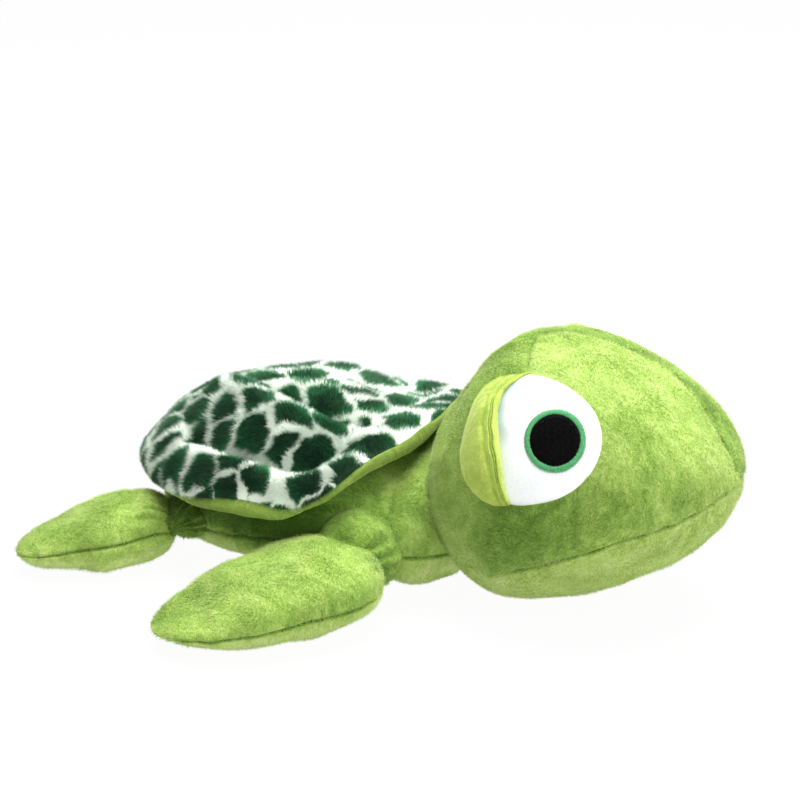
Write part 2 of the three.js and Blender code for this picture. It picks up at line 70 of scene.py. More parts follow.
def rounded(value, power):
    """A sine or cosine bent towards a squarer or a flatter round, with its sign kept"""
    return np.sign(value) * np.abs(value) ** power


def smooth_line(shares):
    """A smooth curve through pairs of place and value, as a cubic through each four neighbours"""
    places, values = (np.array(column, float) for column in zip(*shares))
    slopes = np.gradient(values, places)

    def value_at(place):
        place = np.clip(place, places[0], places[-1])
        k = np.clip(np.searchsorted(places, place) - 1, 0, len(places) - 2)
        step = places[k + 1] - places[k]
        t = (place - places[k]) / step
        return ((2 * t ** 3 - 3 * t ** 2 + 1) * values[k] + (t ** 3 - 2 * t ** 2 + t) * step * slopes[k]
                + (3 * t ** 2 - 2 * t ** 3) * values[k + 1] + (t ** 3 - t ** 2) * step * slopes[k + 1])
    return value_at


def smooth_step(value, start, end):
    """0 before one place and 1 past another, with a soft slope between. It may run up or down"""
    t = np.clip((value - start) / (end - start), 0, 1)
    return t * t * (3 - 2 * t)


def crease(distance, width):
    """1 in the middle of a crease, falling away to nothing beside it"""
    return np.exp(-(distance / width) ** 2)


def ripple(points, wavelength, seed, waves=9):
    """Soft unevenness of about -1 to 1, with dents about half a wavelength wide"""
    draw = np.random.default_rng(seed)
    total = np.zeros(points.shape[:-1])
    for _ in range(waves):
        direction = draw.normal(size=3)
        direction /= np.linalg.norm(direction)
        size = wavelength * draw.uniform(0.7, 1.4)
        total += np.sin(points @ direction * 2 * math.pi / size + draw.uniform(0, 2 * math.pi))
    return total / math.sqrt(waves)


def dents(points, sizes):
    """Ripples of several sizes, each given as its depth, its wavelength and its seed"""
    return sum(depth * ripple(points, wavelength, seed) for depth, wavelength, seed in sizes)


def grooves(distance, sizes):
    """How deep a seam draws cloth in: creases that are each given as a depth and a width"""
    return sum(depth * crease(distance, width) for depth, width in sizes)


def puckers(points, share, wavelength, seed):
    """How strongly a seam draws in along its length, where a share of its pull is uneven"""
    return 1 - share + share * ripple(points, wavelength, seed)


def form_points(form, share, turn):
    """Points on a stuffed form. turn is a share of the way round: 0 on its right, 0.25 on top"""
    sine, cosine = np.sin(2 * math.pi * turn), np.cos(2 * math.pi * turn)
    tall = np.where(sine > 0, form["rise"](share), form["drop"](share))
    power = np.where(sine > 0, form["round"], form.get("round_below", form["round"]))
    return np.stack(np.broadcast_arrays(
        form["start"] + form["length"] * share,
        -form["half"](share) * rounded(cosine, power),
        form["middle"](share) + tall * rounded(sine, power),
    ), -1)


def row_shares(count):
    return (1 - np.cos(math.pi * np.arange(1, count) / count)) / 2


def form_rows(form, count, turns):
    return form_points(form, row_shares(count)[:, None], turns[None, :])


def ends_of(form):
    """The single points at a form's start and end"""
    return [form_points(form, np.array(share), np.array(0.0)) for share in (0.0, 1.0)]


def crowded(count, places, extra=5, reach=0.02):
    """Shares of the way round, packed closer together near the given places"""
    turn = np.linspace(0, 1, 4001)
    density = np.ones_like(turn)
    for place in places:
        away = np.abs((turn - place + 0.5) % 1 - 0.5)
        density += extra * crease(away, reach)
    total = np.concatenate([[0], np.cumsum((density[1:] + density[:-1]) / 2)])
    return np.interp(np.arange(count) / count, total / total[-1], turn)


def column_at(turns, place):
    return int(np.argmin(np.abs(turns - place)))


def to_columns(rows, *columns):
    """How far round its row each point lies from the nearest of some columns of points"""
    step = np.linalg.norm(np.diff(rows, axis=1, append=rows[:, :1]), axis=-1)
    place = np.concatenate([np.zeros((len(rows), 1)), np.cumsum(step, axis=1)[:, :-1]], axis=1)
    whole = step.sum(axis=1, keepdims=True)
    away = [np.abs(place - place[:, column:column + 1]) for column in columns]
    return np.minimum.reduce([np.minimum(one_way, whole - one_way) for one_way in away])


def pushed_out(rows, push):
    """Moves a closed loft's rows of points outwards, or inwards where the push is negative"""
    along = np.gradient(rows, axis=0)
    around = np.roll(rows, -1, axis=1) - np.roll(rows, 1, axis=1)
    normal = np.cross(along, around)
    normal /= np.linalg.norm(normal, axis=-1, keepdims=True) + 1e-12
    facing = np.sum(normal * (rows - rows.mean(axis=1, keepdims=True)), -1)
    return rows + normal * math.copysign(1, facing.mean()) * push[..., None]


def piece_from(name, points, faces, material):
    mesh = bpy.data.meshes.new(name)
    mesh.from_pydata(points.tolist(), [], faces)
    mesh.shade_smooth()
    mesh.materials.append(material)
    piece = bpy.data.objects.new(name, mesh)
    bpy.context.scene.collection.objects.link(piece)
    return piece


def closed_loft(name, rows, start, end, material):
    """A closed mesh through rows of points, with a single point at each end, facing outwards"""
    count, across = rows.shape[:2]
    points = np.concatenate([[start], rows.reshape(-1, 3), [end]])
    column = np.arange(across)
    beside = (column + 1) % across
    first = 1 + np.arange(count - 1)[:, None] * across
    quads = np.stack([first + column, first + beside, first + across + beside, first + across + column], -1)
    quads = quads.reshape(-1, 4)
    last = 1 + (count - 1) * across
    fans = np.concatenate([
        np.stack([np.zeros_like(column), 1 + beside, 1 + column], -1),
        np.stack([np.full_like(column, len(points) - 1), last + column, last + beside], -1),
    ])
    corners = [points[quads[:, k]] for k in range(4)]
    volume = np.sum(corners[0] * np.cross(corners[1], corners[2]))
    volume += np.sum(corners[0] * np.cross(corners[2], corners[3]))
    if volume < 0:
        quads, fans = quads[:, ::-1], fans[:, ::-1]
    return piece_from(name, points, quads.tolist() + fans.tolist(), material)


def with_ends(values, start=0, end=0):
    """The values of a closed loft's rows of points, with those of its two end points"""
    return np.concatenate([[start], np.ravel(values), [end]])


def add_values(piece, name, values):
    """Named numbers or directions on all points of a mesh, for its material or its pile to read"""
    values = np.asarray(values, np.float32)
    kind, field = ("FLOAT", "value") if values.ndim == 1 else ("FLOAT_VECTOR", "vector")
    attribute = piece.data.attributes.new(name, kind, "POINT")
    attribute.data.foreach_set(field, values.ravel())


def linear(code):
    """An sRGB hex colour as a linear one"""
    parts = [int(code[k:k + 2], 16) / 255 for k in (1, 3, 5)]
    return (*[p / 12.92 if p <= 0.04045 else ((p + 0.055) / 1.055) ** 2.4 for p in parts], 1)


def add_node(tree, kind, inputs=None, **settings):
    """One node with its settings. An input takes a value, a socket, or a node for its first output"""
    node = tree.nodes.new(kind)
    for name, value in settings.items():
        setattr(node, name, value)
    for key, value in (inputs or {}).items():
        if isinstance(value, bpy.types.Node):
            value = value.outputs[0]
        if isinstance(value, bpy.types.NodeSocket):
            tree.links.new(value, node.inputs[key])
        else:
            node.inputs[key].default_value = value
    return node


def colour_steps(ramp, steps):
    """Sets a ramp's colours from pairs of place and hex colour"""
    elements = ramp.color_ramp.elements
    for k, (place, code) in enumerate(steps):
        element = elements[k] if k < 2 else elements.new(place)
        element.position = place
        element.color = linear(code)


def new_material(name):
    """A material with an empty node tree"""
    material = bpy.data.materials.new(name)
    material.use_nodes = True
    material.node_tree.nodes.clear()
    return material, material.node_tree


# Short-pile polyester plush, knitted and sheared: matt, with lighter and darker strokes where the
# pile has been brushed either way. Each hair is painted darker at its root and paler at its tip, painted
# shade deep in the pile and painted light at the tips, so it looks darker where the pile stands towards
# the eye; its sheen glows softly where it is seen edge on.
brushed_patch, nap_stroke, nap_grain = 0.026, 0.0034, 0.0009
patch_share, stroke_share, grain_share, darker = 0.8, 0.55, 0.55, -0.45
lime_steps = [(0.0, "#4C7222"), (0.33, "#87AD48"), (0.62, "#B5D26B"), (1.0, "#DBEE9F")]


def plush_material(name, steps, sheen_colour):
    material, tree = new_material(name)
    place = add_node(tree, "ShaderNodeTexCoord").outputs["Object"]
    stretched = add_node(tree, "ShaderNodeMapping", {"Vector": place, "Scale": (1, 1.7, 0.8)})
    patch = add_node(tree, "ShaderNodeTexNoise", {
        "Vector": stretched, "Scale": 1 / brushed_patch, "Detail": 2.0, "Roughness": 0.55, "Distortion": 0.9})
    stroke = add_node(tree, "ShaderNodeTexNoise", {
        "Vector": stretched, "Scale": 1 / nap_stroke, "Detail": 2.0, "Roughness": 0.6, "Distortion": 0.6})
    grain = add_node(tree, "ShaderNodeTexNoise", {
        "Vector": place, "Scale": 1 / nap_grain, "Detail": 1.0, "Roughness": 0.6})
    brushed = darker
    for noise, share in ((patch, patch_share), (stroke, stroke_share), (grain, grain_share)):
        brushed = add_node(tree, "ShaderNodeMath", {0: noise, 1: share, 2: brushed}, operation="MULTIPLY_ADD")
    tint = add_node(tree, "ShaderNodeAttribute", attribute_name="tint").outputs["Fac"]
    tinted = add_node(tree, "ShaderNodeMath", {0: brushed, 1: tint}, operation="ADD")
    ramp = add_node(tree, "ShaderNodeValToRGB", {"Fac": tinted})
    colour_steps(ramp, steps)
    # Painted shade at each hair's root and painted light at its tip, scaled by its height along the hair
    along = add_node(tree, "ShaderNodeAttribute", attribute_name="along").outputs["Fac"]
    painted_tip_light = add_node(tree, "ShaderNodeMapRange", {"Value": along, "To Min": 0.80, "To Max": 1.50})
    lit = add_node(tree, "ShaderNodeVectorMath", {0: ramp, "Scale": painted_tip_light}, operation="SCALE")
    height = add_node(tree, "ShaderNodeMath", {0: grain, 1: 0.5, 2: stroke}, operation="MULTIPLY_ADD")
    bump = add_node(tree, "ShaderNodeBump", {"Height": height, "Strength": 0.5, "Distance": 0.0010})
    shader = add_node(tree, "ShaderNodeBsdfPrincipled", {
        "Base Color": lit, "Roughness": 0.95, "Specular IOR Level": 0.12, "Sheen Weight": 0.9,
        "Sheen Roughness": 0.40, "Sheen Tint": linear(sheen_colour), "Normal": bump})
    add_node(tree, "ShaderNodeOutputMaterial", {"Surface": shader})
    return material


lime_plush = plush_material("short pile plush, lime", lime_steps, "#EFFFB4")


def new_tree(name, numbers, geometry_in=False):
    """A geometry node tree with its named inputs, given as {name: (kind, value)}"""
    tree = bpy.data.node_groups.new(name, "GeometryNodeTree")
    if geometry_in:
        tree.interface.new_socket("Geometry", in_out="INPUT", socket_type="NodeSocketGeometry")
    for label, (kind, value) in numbers.items():
        socket = tree.interface.new_socket(label, in_out="INPUT", socket_type="NodeSocket" + kind)
        socket.default_value = value
    tree.interface.new_socket("Geometry", in_out="OUTPUT", socket_type="NodeSocketGeometry")
    return tree, add_node(tree, "NodeGroupInput").outputs


def pile_tree():
    """Hairs spread over a mesh, each a thin spike that leans by the mesh's own comb direction"""
    tree, given = new_tree("pile", {
        "Density": ("Float", 1e6), "Length": ("Float", 0.004), "Width": ("Float", 0.0003),
        "Loose": ("Float", 0.3), "Tufted": ("Float", 0.5), "Tuft size": ("Float", 0.004),
        "Seed": ("Int", 1), "Finish": ("Material", None)}, True)
    there = add_node(tree, "GeometryNodeInputNamedAttribute", {"Name": "pile"}, data_type="FLOAT")
    density = add_node(tree, "ShaderNodeMath", {0: there, 1: given["Density"]}, operation="MULTIPLY")
    spread = add_node(tree, "GeometryNodeDistributePointsOnFaces", {
        "Mesh": given["Geometry"], "Density": density, "Seed": given["Seed"]})
    comb = add_node(tree, "GeometryNodeInputNamedAttribute", {"Name": "comb"}, data_type="FLOAT_VECTOR")
    often = add_node(tree, "ShaderNodeMath", {0: 1.0, 1: given["Tuft size"]}, operation="DIVIDE")
    tufts = add_node(tree, "ShaderNodeTexNoise", {"Scale": often, "Detail": 1.0}).outputs["Color"]
    centred = add_node(tree, "ShaderNodeVectorMath", {0: tufts, 1: (0.5, 0.5, 0.5)}, operation="SUBTRACT")
    drawn = add_node(tree, "ShaderNodeVectorMath", {0: centred, "Scale": given["Tufted"]}, operation="SCALE")
    least = add_node(tree, "ShaderNodeMath", {0: given["Loose"], 1: -1.0}, operation="MULTIPLY")
    stray = add_node(tree, "FunctionNodeRandomValue", {
        "Min": least, "Max": given["Loose"], "Seed": given["Seed"]}, data_type="FLOAT_VECTOR")
    aim = spread.outputs["Normal"]
    for bend in (comb, drawn, stray):
        aim = add_node(tree, "ShaderNodeVectorMath", {0: aim, 1: bend}, operation="ADD")
    turned = add_node(tree, "FunctionNodeAlignRotationToVector", {"Vector": aim}, axis="Z")
    half = add_node(tree, "ShaderNodeMath", {0: given["Width"], 1: 0.5}, operation="MULTIPLY")
    hair = add_node(tree, "GeometryNodeMeshCone", {
        "Vertices": 3, "Side Segments": 1, "Radius Bottom": half, "Radius Top": 0.0,
        "Depth": given["Length"]}, fill_type="NONE")
    place = add_node(tree, "GeometryNodeInputPosition")
    height = add_node(tree, "ShaderNodeSeparateXYZ", {0: place}).outputs["Z"]
    share = add_node(tree, "ShaderNodeMath", {0: height, 1: given["Length"]}, operation="DIVIDE")
    marked = add_node(tree, "GeometryNodeStoreNamedAttribute", {
        "Geometry": hair, "Name": "along", "Value": share}, data_type="FLOAT", domain="POINT")
    uneven = add_node(tree, "FunctionNodeRandomValue", {"Seed": given["Seed"]}, data_type="FLOAT").outputs[1]
    grown = add_node(tree, "ShaderNodeMapRange", {"Value": uneven, "To Min": 0.65, "To Max": 1.1})
    long_here = add_node(tree, "GeometryNodeInputNamedAttribute", {"Name": "long"}, data_type="FLOAT")
    size = add_node(tree, "ShaderNodeMath", {0: grown, 1: long_here}, operation="MULTIPLY")
    planted = add_node(tree, "GeometryNodeInstanceOnPoints", {
        "Points": spread, "Instance": marked, "Rotation": turned, "Scale": size})
    real = add_node(tree, "GeometryNodeRealizeInstances", {"Geometry": planted})
    painted = add_node(tree, "GeometryNodeSetMaterial", {"Geometry": real, "Material": given["Finish"]})
    add_node(tree, "NodeGroupOutput", {0: painted})
    return tree


def made_by(tree, start, inputs):
    """Runs a node tree on an object, and gives what it makes as a plain mesh"""
    modifier = start.modifiers.new(tree.name, "NODES")
    modifier.node_group = tree
    for item in tree.interface.items_tree:
        if item.item_type == "SOCKET" and item.name in inputs:
            modifier[item.identifier] = inputs[item.name]
    mesh = bpy.data.meshes.new_from_object(start.evaluated_get(bpy.context.evaluated_depsgraph_get()))
    start.modifiers.clear()
    return mesh


def places_of(mesh):
    """A mesh's points as an array"""
    points = np.empty(len(mesh.vertices) * 3)
    mesh.vertices.foreach_get("co", points)
    return points.reshape(-1, 3)


map_rear, map_length = 0.2, 0.4


def map_round(mesh, middle):
    """Unrolls a mesh of hairs about the x axis, so that hairs beside each other share their colours"""
    points = places_of(mesh) - middle
    around = np.arctan2(points[:, 1], points[:, 2]) / (2 * math.pi) + 0.5
    spread = np.stack([(points[:, 0] + map_rear) / map_length, around], -1)
    corners = np.empty(len(mesh.loops), np.int32)
    mesh.loops.foreach_get("vertex_index", corners)
    mesh.uv_layers.new(name="OFBake").data.foreach_set("uv", spread[corners].astype(np.float32).ravel())


pile_maker = pile_tree()


def grow_pile(name, cloth, material, **sizes):
    """The pile of one piece of cloth, as a piece of its own"""
    grown = bpy.data.objects.new(name, cloth.data)
    bpy.context.scene.collection.objects.link(grown)
    grown.data = made_by(pile_maker, grown, {**sizes, "Finish": material})
    grown.data.shade_smooth()
    map_round(grown.data, places_of(cloth.data).mean(axis=0))
    return grown


# The plush's pile is 2 mm long. Its hairs are drawn thicker and further apart than real ones, as
# fine as they still show. It is brushed to the rear and down, and swept about by handling.
nap_length, nap_width, nap_tuft = 0.0021, 0.00034, 0.0022
nap_loose, nap_tufted, nap_seed = 0.45, 0.8, 11
nap_comb, nap_swept, nap_swept_size = np.array([-0.28, 0, -0.28]), 0.42, 0.035
nap_long, nap_uneven, nap_uneven_size = 0.9, 0.12, 0.02
pressed_below, free_above = 0.0022, 0.0050


def grow_nap(cloth, follow, bare=0.0, density=1.3e6, parts=1, long=1.0):
    """Short brushed pile on a piece of plush, but for where it is covered or lies on the ground"""
    points = places_of(cloth.data)
    add_values(cloth, "pile", smooth_step(points[:, 2], pressed_below, free_above) * (1 - bare))
    add_values(cloth, "long", long * (nap_long + nap_uneven * ripple(points, nap_uneven_size, 73)))
    swept = np.stack([ripple(points, nap_swept_size, 70 + k) for k in range(3)], -1)
    add_values(cloth, "comb", nap_comb + nap_swept * swept)
    for part in range(parts):
        nap = grow_pile(f"{cloth.name}_nap_{part + 1}", cloth, cloth.data.materials[0], **{
            "Density": density, "Length": nap_length, "Width": nap_width, "Loose": nap_loose,
            "Tufted": nap_tufted, "Tuft size": nap_tuft, "Seed": nap_seed + part})
        follow(nap)


side_seam_line = smooth_line([(0, 0.55), (0.34, 0.83), (0.58, 1.1), (0.94, 0.97), (1, 0.95)])


def body_middle(share):
    return side_seam_height * side_seam_line(share)


def panel_full(share, full):
    """How full the back or the belly is along the body, blunter in front than at the rear"""
    return fullness(share, full["fullest"], full["rear"] + (full["front"] - full["rear"]) * share)


body_form = {
    "start": -body_rear, "length": body_length, "round": body_round, "middle": body_middle,
    "half": lambda share: body_half_width * panel_full(share, back_full),
    "rise": lambda share: (back_height - body_middle(share)) * panel_full(share, back_full),
    "drop": lambda share: (body_middle(share) + ground_cut) * panel_full(share, belly_full),
}

# Seams: a narrow groove where the stitches are, in a wider one that puckers. Each is (depth, width),
# and each dent (depth, wavelength, seed). The sides are a little hollow low down between the flippers.
body_columns, body_row_count = 200, 220
body_seam, body_stitches, body_puckers = (0.0016, 0.010), (0.0021, 0.0011), (0.4, 0.011, 3)
body_dents = [(0.0007, 0.045, 4), (0.0003, 0.014, 5)]
hollow_depth, hollow_place, hollow_reach = 0.0032, -0.018, 0.032
hollow_heights, hollow_widths = (0.024, 0.006), (0.030, 0.050)
rear_smooth = 0.006

body_turns = crowded(body_columns, [0, 0.5])
body_rows = form_rows(body_form, body_row_count, body_turns)
to_side_seam = to_columns(body_rows, 0, column_at(body_turns, 0.5))
x, y, z = np.moveaxis(body_rows, -1, 0)
side_hollow = hollow_depth * crease(x - hollow_place, hollow_reach)
side_hollow = side_hollow * smooth_step(z, *hollow_heights) * smooth_step(np.abs(y), *hollow_widths)
body_push = (dents(body_rows, body_dents) - side_hollow - grooves(to_side_seam, [body_stitches])
             - grooves(to_side_seam, [body_seam]) * puckers(body_rows, *body_puckers))
body_rows = pushed_out(body_rows, body_push * smooth_step(x + body_rear, 0, rear_smooth))

# The front of the body is drawn back behind the head, hollow in the middle where the neck goes in
body_front, front_squeeze = 0.088, 0.25
front_hollow, front_hollow_reach, front_soft = 0.014, 0.045, 0.012


def drawn_back(points):
    past = np.maximum(points[..., 0] - body_front, 0)
    across = np.hypot(points[..., 1], points[..., 2] - back_height / 2)
    hollow = front_hollow * crease(across, front_hollow_reach) * smooth_step(past, 0, front_soft)
    moved = points.copy()
    moved[..., 0] = np.where(past > 0, body_front + past * front_squeeze, points[..., 0]) - hollow
    moved[..., 2] = np.maximum(moved[..., 2], 0)
    return moved


body_ends = [drawn_back(end) for end in ends_of(body_form)]
body_plush = closed_loft("body_plush", drawn_back(body_rows), *body_ends, lime_plush)
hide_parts("body_stuffing", "back_cover", "belly_cover")
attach(body_plush, "torso")

# Painted light and shade: the belly panel gets painted light as from the white floor, a seam's groove gets
# painted shade, and so does the pile in the shade of the shell
seam_painted_shade, stitch_width = -0.30, 0.0009
belly_painted_light, belly_heights = 0.30, (0.031, 0.022)
shade_tint, shade_heights, shade_lengths = -0.66, (0.014, 0.040), (0.080, 0.03)
covered_heights = (0.050, 0.056)
x, y, z = places_of(body_plush.data).T
at_side_seam = with_ends(crease(to_side_seam, stitch_width))
in_shade = smooth_step(z, *shade_heights) * smooth_step(x, *shade_lengths)
add_values(body_plush, "tint", (
    belly_painted_light * smooth_step(z, *belly_heights) + seam_painted_shade * at_side_seam + shade_tint * in_shade))
grow_nap(body_plush, lambda nap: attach(nap, "torso"),
         np.maximum(smooth_step(z, *covered_heights), at_side_seam))

# Neck: a short roll of the same plush that joins body and head.
# Its rear is tucked into the body's front and its front is sewn into the head, and it lies in a soft
# fold just behind it.
neck_rear, neck_front, neck_half_width = 0.068, 0.121, 0.0665
neck_middle_height, neck_rise, neck_drop = 0.030, 0.0425, 0.0295
neck_round, neck_blunt, neck_columns, neck_row_count = 0.88, 0.12, 180, 60
neck_lines = {
    "rise": smooth_line([(0, 0.92), (0.35, 1.0), (0.65, 0.96), (1, 0.86)]),
    "drop": smooth_line([(0, 1.0), (0.4, 1.0), (0.75, 0.86), (1, 0.6)]),
    "half": smooth_line([(0, 0.97), (0.25, 1.0), (0.5, 0.985), (0.75, 0.9), (1, 0.76)]),
}
neck_fold, neck_fold_stretch = (0.0012, 0.020, 11), np.array([0.25, 1, 1])
neck_grooves = [(0.0018, 0.0011), (0.0010, 0.006)]
neck_lift = 0.0004
under_neck_painted_light, under_neck_heights = 0.22, (0.031, 0.028)
neck_shown_from, neck_shown_to = (0.076, 0.080), (0.112, 0.106)


def neck_size(size, line):
    return lambda share: size * neck_lines[line](share) * fullness(share, 0.5, neck_blunt)


neck_form = {
    "start": neck_rear, "length": neck_front - neck_rear, "round": neck_round,
    "middle": lambda share: neck_middle_height + 0 * share, "half": neck_size(neck_half_width, "half"),
    "rise": neck_size(neck_rise, "rise"), "drop": neck_size(neck_drop, "drop"),
}
neck_turns = crowded(neck_columns, [0, 0.5])
neck_rows = form_rows(neck_form, neck_row_count, neck_turns)
to_neck_seam = to_columns(neck_rows, 0, column_at(neck_turns, 0.5))
neck_push = dents(neck_rows * neck_fold_stretch, [neck_fold]) - grooves(to_neck_seam, neck_grooves)
neck_rows = pushed_out(neck_rows, neck_push)
neck_rows[..., 2] = np.maximum(neck_rows[..., 2], neck_lift)
neck_collar = closed_loft("neck_collar", neck_rows, *ends_of(neck_form), lime_plush)
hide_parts("neck_stuffing")
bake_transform(neck_collar)
x, y, z = places_of(neck_collar.data).T
at_neck_seam = with_ends(crease(to_neck_seam, stitch_width))
neck_shown = smooth_step(x, *neck_shown_from) * smooth_step(x, *neck_shown_to)
# Painted light on the underside, as from the white floor, and painted shade along the seam's groove
add_values(neck_collar, "tint", (
    under_neck_painted_light * smooth_step(z, *under_neck_heights) + seam_painted_shade * at_neck_seam))
grow_nap(neck_collar, lambda nap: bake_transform(nap),
         np.maximum(1 - neck_shown, at_neck_seam))

# Head: one big stuffed form of three plush panels. Two side panels meet in a seam over the middle
# of the face, with a dart down to each eyelid, and a chin panel closes it below along the mouth.
head_start, head_length = 0.092, 0.166
head_half_width, head_height = 0.078, 0.142
head_round, head_row_count = 0.92, 290
side_columns, chin_columns = 108, 60
head_middle_line = smooth_line([(0, 0.42), (0.5, 0.5), (1, 0.56)])
chin_seam_line = smooth_line([
    (0, 0.21), (0.1, 0.20), (0.2, 0.20), (0.33, 0.233), (0.49, 0.31), (0.72, 0.42), (0.9, 0.49), (1, 0.54)])

# The middle seam wanders a little to the left over the forehead, as sewn plush does
middle_seam_line = smooth_line([
    (0, 0.25), (0.2, 0.252), (0.306, 0.258), (0.45, 0.272), (0.68, 0.289), (0.85, 0.276), (0.93, 0.262),
    (1, 0.25)])


def head_middle(share):
    return head_height * head_middle_line(share)


head_form = {
    "start": head_start, "length": head_length, "round": head_round, "middle": head_middle,
    "half": lambda share: head_half_width * fullness(share, 0.42, 0.5),
    "rise": lambda share: (head_height - head_middle(share)) * fullness(share, 0.385, 0.55),
    "drop": lambda share: (head_middle(share) + ground_cut) * fullness(share, 0.34, 0.55),
}

# Past this share of the way down, the chin panel's seam runs out at the back of the head
chin_seam_lowest, chin_seam_fade = 0.985, 0.06
crowding = 0.75


def chin_turn(share):
    """How far round the chin seam lies on the right side, and how much of a seam there is"""
    seam = head_height * chin_seam_line(share)
    below = (head_middle(share) - seam) / np.maximum(head_form["drop"](share), 1e-6)
    sine = np.clip(below, 0, chin_seam_lowest) ** (1 / head_round)
    return -np.arcsin(sine) / (2 * math.pi), smooth_step(chin_seam_lowest - below, 0, chin_seam_fade)


def seamed_turns(share):
    """Turns of one row's columns, which start on the right chin seam and crowd at each seam"""
    right, _ = chin_turn(share)
    left = 0.5 - right
    top = float(middle_seam_line(share))
    spans = [(right, top, side_columns), (top, left, side_columns), (left, 1 + right, chin_columns)]
    parts = []
    for low, high, count in spans:
        even = np.arange(count) / count
        eased = (1 - np.cos(math.pi * even)) / 2
        parts.append(low + (high - low) * ((1 - crowding) * even + crowding * eased))
    return np.concatenate(parts, axis=-1)


# The dart runs from the crown down to the upper corner of each eyelid. The rows of points lean with
# it: the share is its place at the middle seam, the slope its lean, and the turn where it ends.
dart_share, dart_slope, dart_turn, dart_reach = 0.290, 0.79, 0.085, 0.12
dart_lean_turns, dart_fade = (0.42, 0.16), 0.02
head_base_shares = row_shares(head_row_count)
head_turns = np.stack([seamed_turns(share) for share in head_base_shares])
seam_turns = middle_seam_line(head_base_shares)[:, None]
from_top = np.abs((head_turns - seam_turns + 0.5) % 1 - 0.5)
dart_shift = dart_slope * np.minimum(from_top, dart_turn) * smooth_step(from_top, *dart_lean_turns)
near_dart = crease(head_base_shares[:, None] - dart_share, dart_reach)
head_shares = head_base_shares[:, None] + dart_shift * near_dart
head_rows = form_points(head_form, head_shares, head_turns)
run_along = np.linalg.norm(np.gradient(head_rows, axis=0), axis=-1) / np.gradient(head_shares, axis=0)
to_dart = (head_shares - dart_share - dart_shift) * run_along
dart_there = smooth_step(from_top, dart_turn, dart_turn - dart_fade)
_, chin_there = chin_turn(head_shares)
head_ends = ends_of(head_form)
to_tip = np.linalg.norm(head_rows - head_ends[1], axis=-1)
at_ends = smooth_step(to_tip, 0, 0.008) * smooth_step(head_rows[..., 0] - head_start, 0, 0.004)
to_chin_seam = to_columns(head_rows, 0, 2 * side_columns)
to_middle_seam = to_columns(head_rows, side_columns)

# The three seams, and the chin's soft folds beside its seam
chin_stitches, chin_pull, chin_puckers = (0.0018, 0.0010), (0.0011, 0.006), (0.45, 0.009, 21)
chin_weaker_share, chin_weaker_places = 0.3, (0.16, 0.34)
middle_grooves = [(0.0015, 0.0009), (0.0006, 0.007)]
dart_grooves = [(0.0015, 0.0010), (0.0009, 0.006)]
chin_folds, chin_fold_stretch = (0.0008, 0.016, 23), np.array([1.0, 0.45, 0.45])
chin_fold_heights, chin_fold_place, chin_fold_reach = (head_height * 0.42, head_height * 0.2), 0.008, 0.012
chin_groove = grooves(to_chin_seam, [chin_stitches])
chin_groove = chin_groove + grooves(to_chin_seam, [chin_pull]) * puckers(head_rows, *chin_puckers)
chin_strength = 1 - chin_weaker_share + chin_weaker_share * smooth_step(head_shares, *chin_weaker_places)
seam_push = (chin_groove * chin_there * chin_strength + grooves(to_middle_seam, middle_grooves)
             + grooves(to_dart, dart_grooves) * dart_there)
in_chin = smooth_step(head_rows[..., 2], *chin_fold_heights)
fold_push = dents(head_rows * chin_fold_stretch, [chin_folds]) * in_chin
fold_push = fold_push * crease(to_chin_seam - chin_fold_place, chin_fold_reach)

# Where the stuffing is thin: a flatter nape and chin, a fold across the cheek, a blunter snout
nape_flat, nape_share, nape_reach, nape_turns = 0.0045, 0.095, 0.085, (0.22, 0.04)
chin_flat, chin_flat_turns, chin_flat_from, chin_flat_to = 0.0024, (0.34, 0.41), (0.28, 0.5), (0.96, 0.70)
cheek_fold, cheek_share, cheek_width, cheek_turn, cheek_reach = 0.0010, 0.607, 0.016, 0.002, 0.045
blunt_tip, blunt_reach, blunt_heights = 0.0030, 0.038, (0.048, 0.076)
head_dents = [(0.0006, 0.05, 24), (0.00025, 0.013, 25)]
at_nape = crease(head_shares - nape_share, nape_reach) * smooth_step(from_top, *nape_turns)
at_chin = smooth_step(from_top, *chin_flat_turns)
at_chin = at_chin * smooth_step(head_shares, *chin_flat_from) * smooth_step(head_shares, *chin_flat_to)
at_cheek = crease(head_shares - cheek_share, cheek_width) * crease(head_turns - cheek_turn, cheek_reach)
head_push = (fold_push + dents(head_rows, head_dents) - cheek_fold * at_cheek
             - at_ends * (seam_push + nape_flat * at_nape + chin_flat * at_chin))
head_rows = pushed_out(head_rows, head_push)
head_rows[..., 0] -= blunt_tip * crease(to_tip, blunt_reach) * smooth_step(head_rows[..., 2], *blunt_heights)
head_rows[..., 2] = np.maximum(head_rows[..., 2], 0)
head_plush = closed_loft("head_plush", head_rows, head_ends[0], head_ends[1] - [blunt_tip, 0, 0], lime_plush)

# The pile lies another way behind the darts and on the far side of the middle seam, and the darker look
# this gives is painted in there as shade. The face in front of them gets painted light, the chin panel
# painted light as from the white floor, under the eye and along the cheek fold painted shade, and the
# seams painted shade in their grooves.
behind_dart_painted_shade, behind_dart_length, behind_dart_turns = -0.16, (-0.075, -0.02), (0.19, 0.12)
left_strip_painted_shade, left_strip_widths, left_strip_last = -0.18, (0.045, 0.01), 0.6
face_painted_light, face_turns, face_from = 0.12, (0.2, 0.06), (0, 0.004)
under_eye_painted_shade, under_eye_turn, under_eye_share = -0.24, (-0.02, 0.055), (0.40, 0.16)
cheek_painted_shade, chin_painted_light, chin_seam_darker = -0.12, 0.20, 1.4
behind_dart = smooth_step(to_dart, 0, -0.002) * smooth_step(to_dart, *behind_dart_length)
behind_dart = behind_dart * smooth_step(from_top, *behind_dart_turns)
past_seam = (head_turns > seam_turns) * (head_turns < left_strip_last)
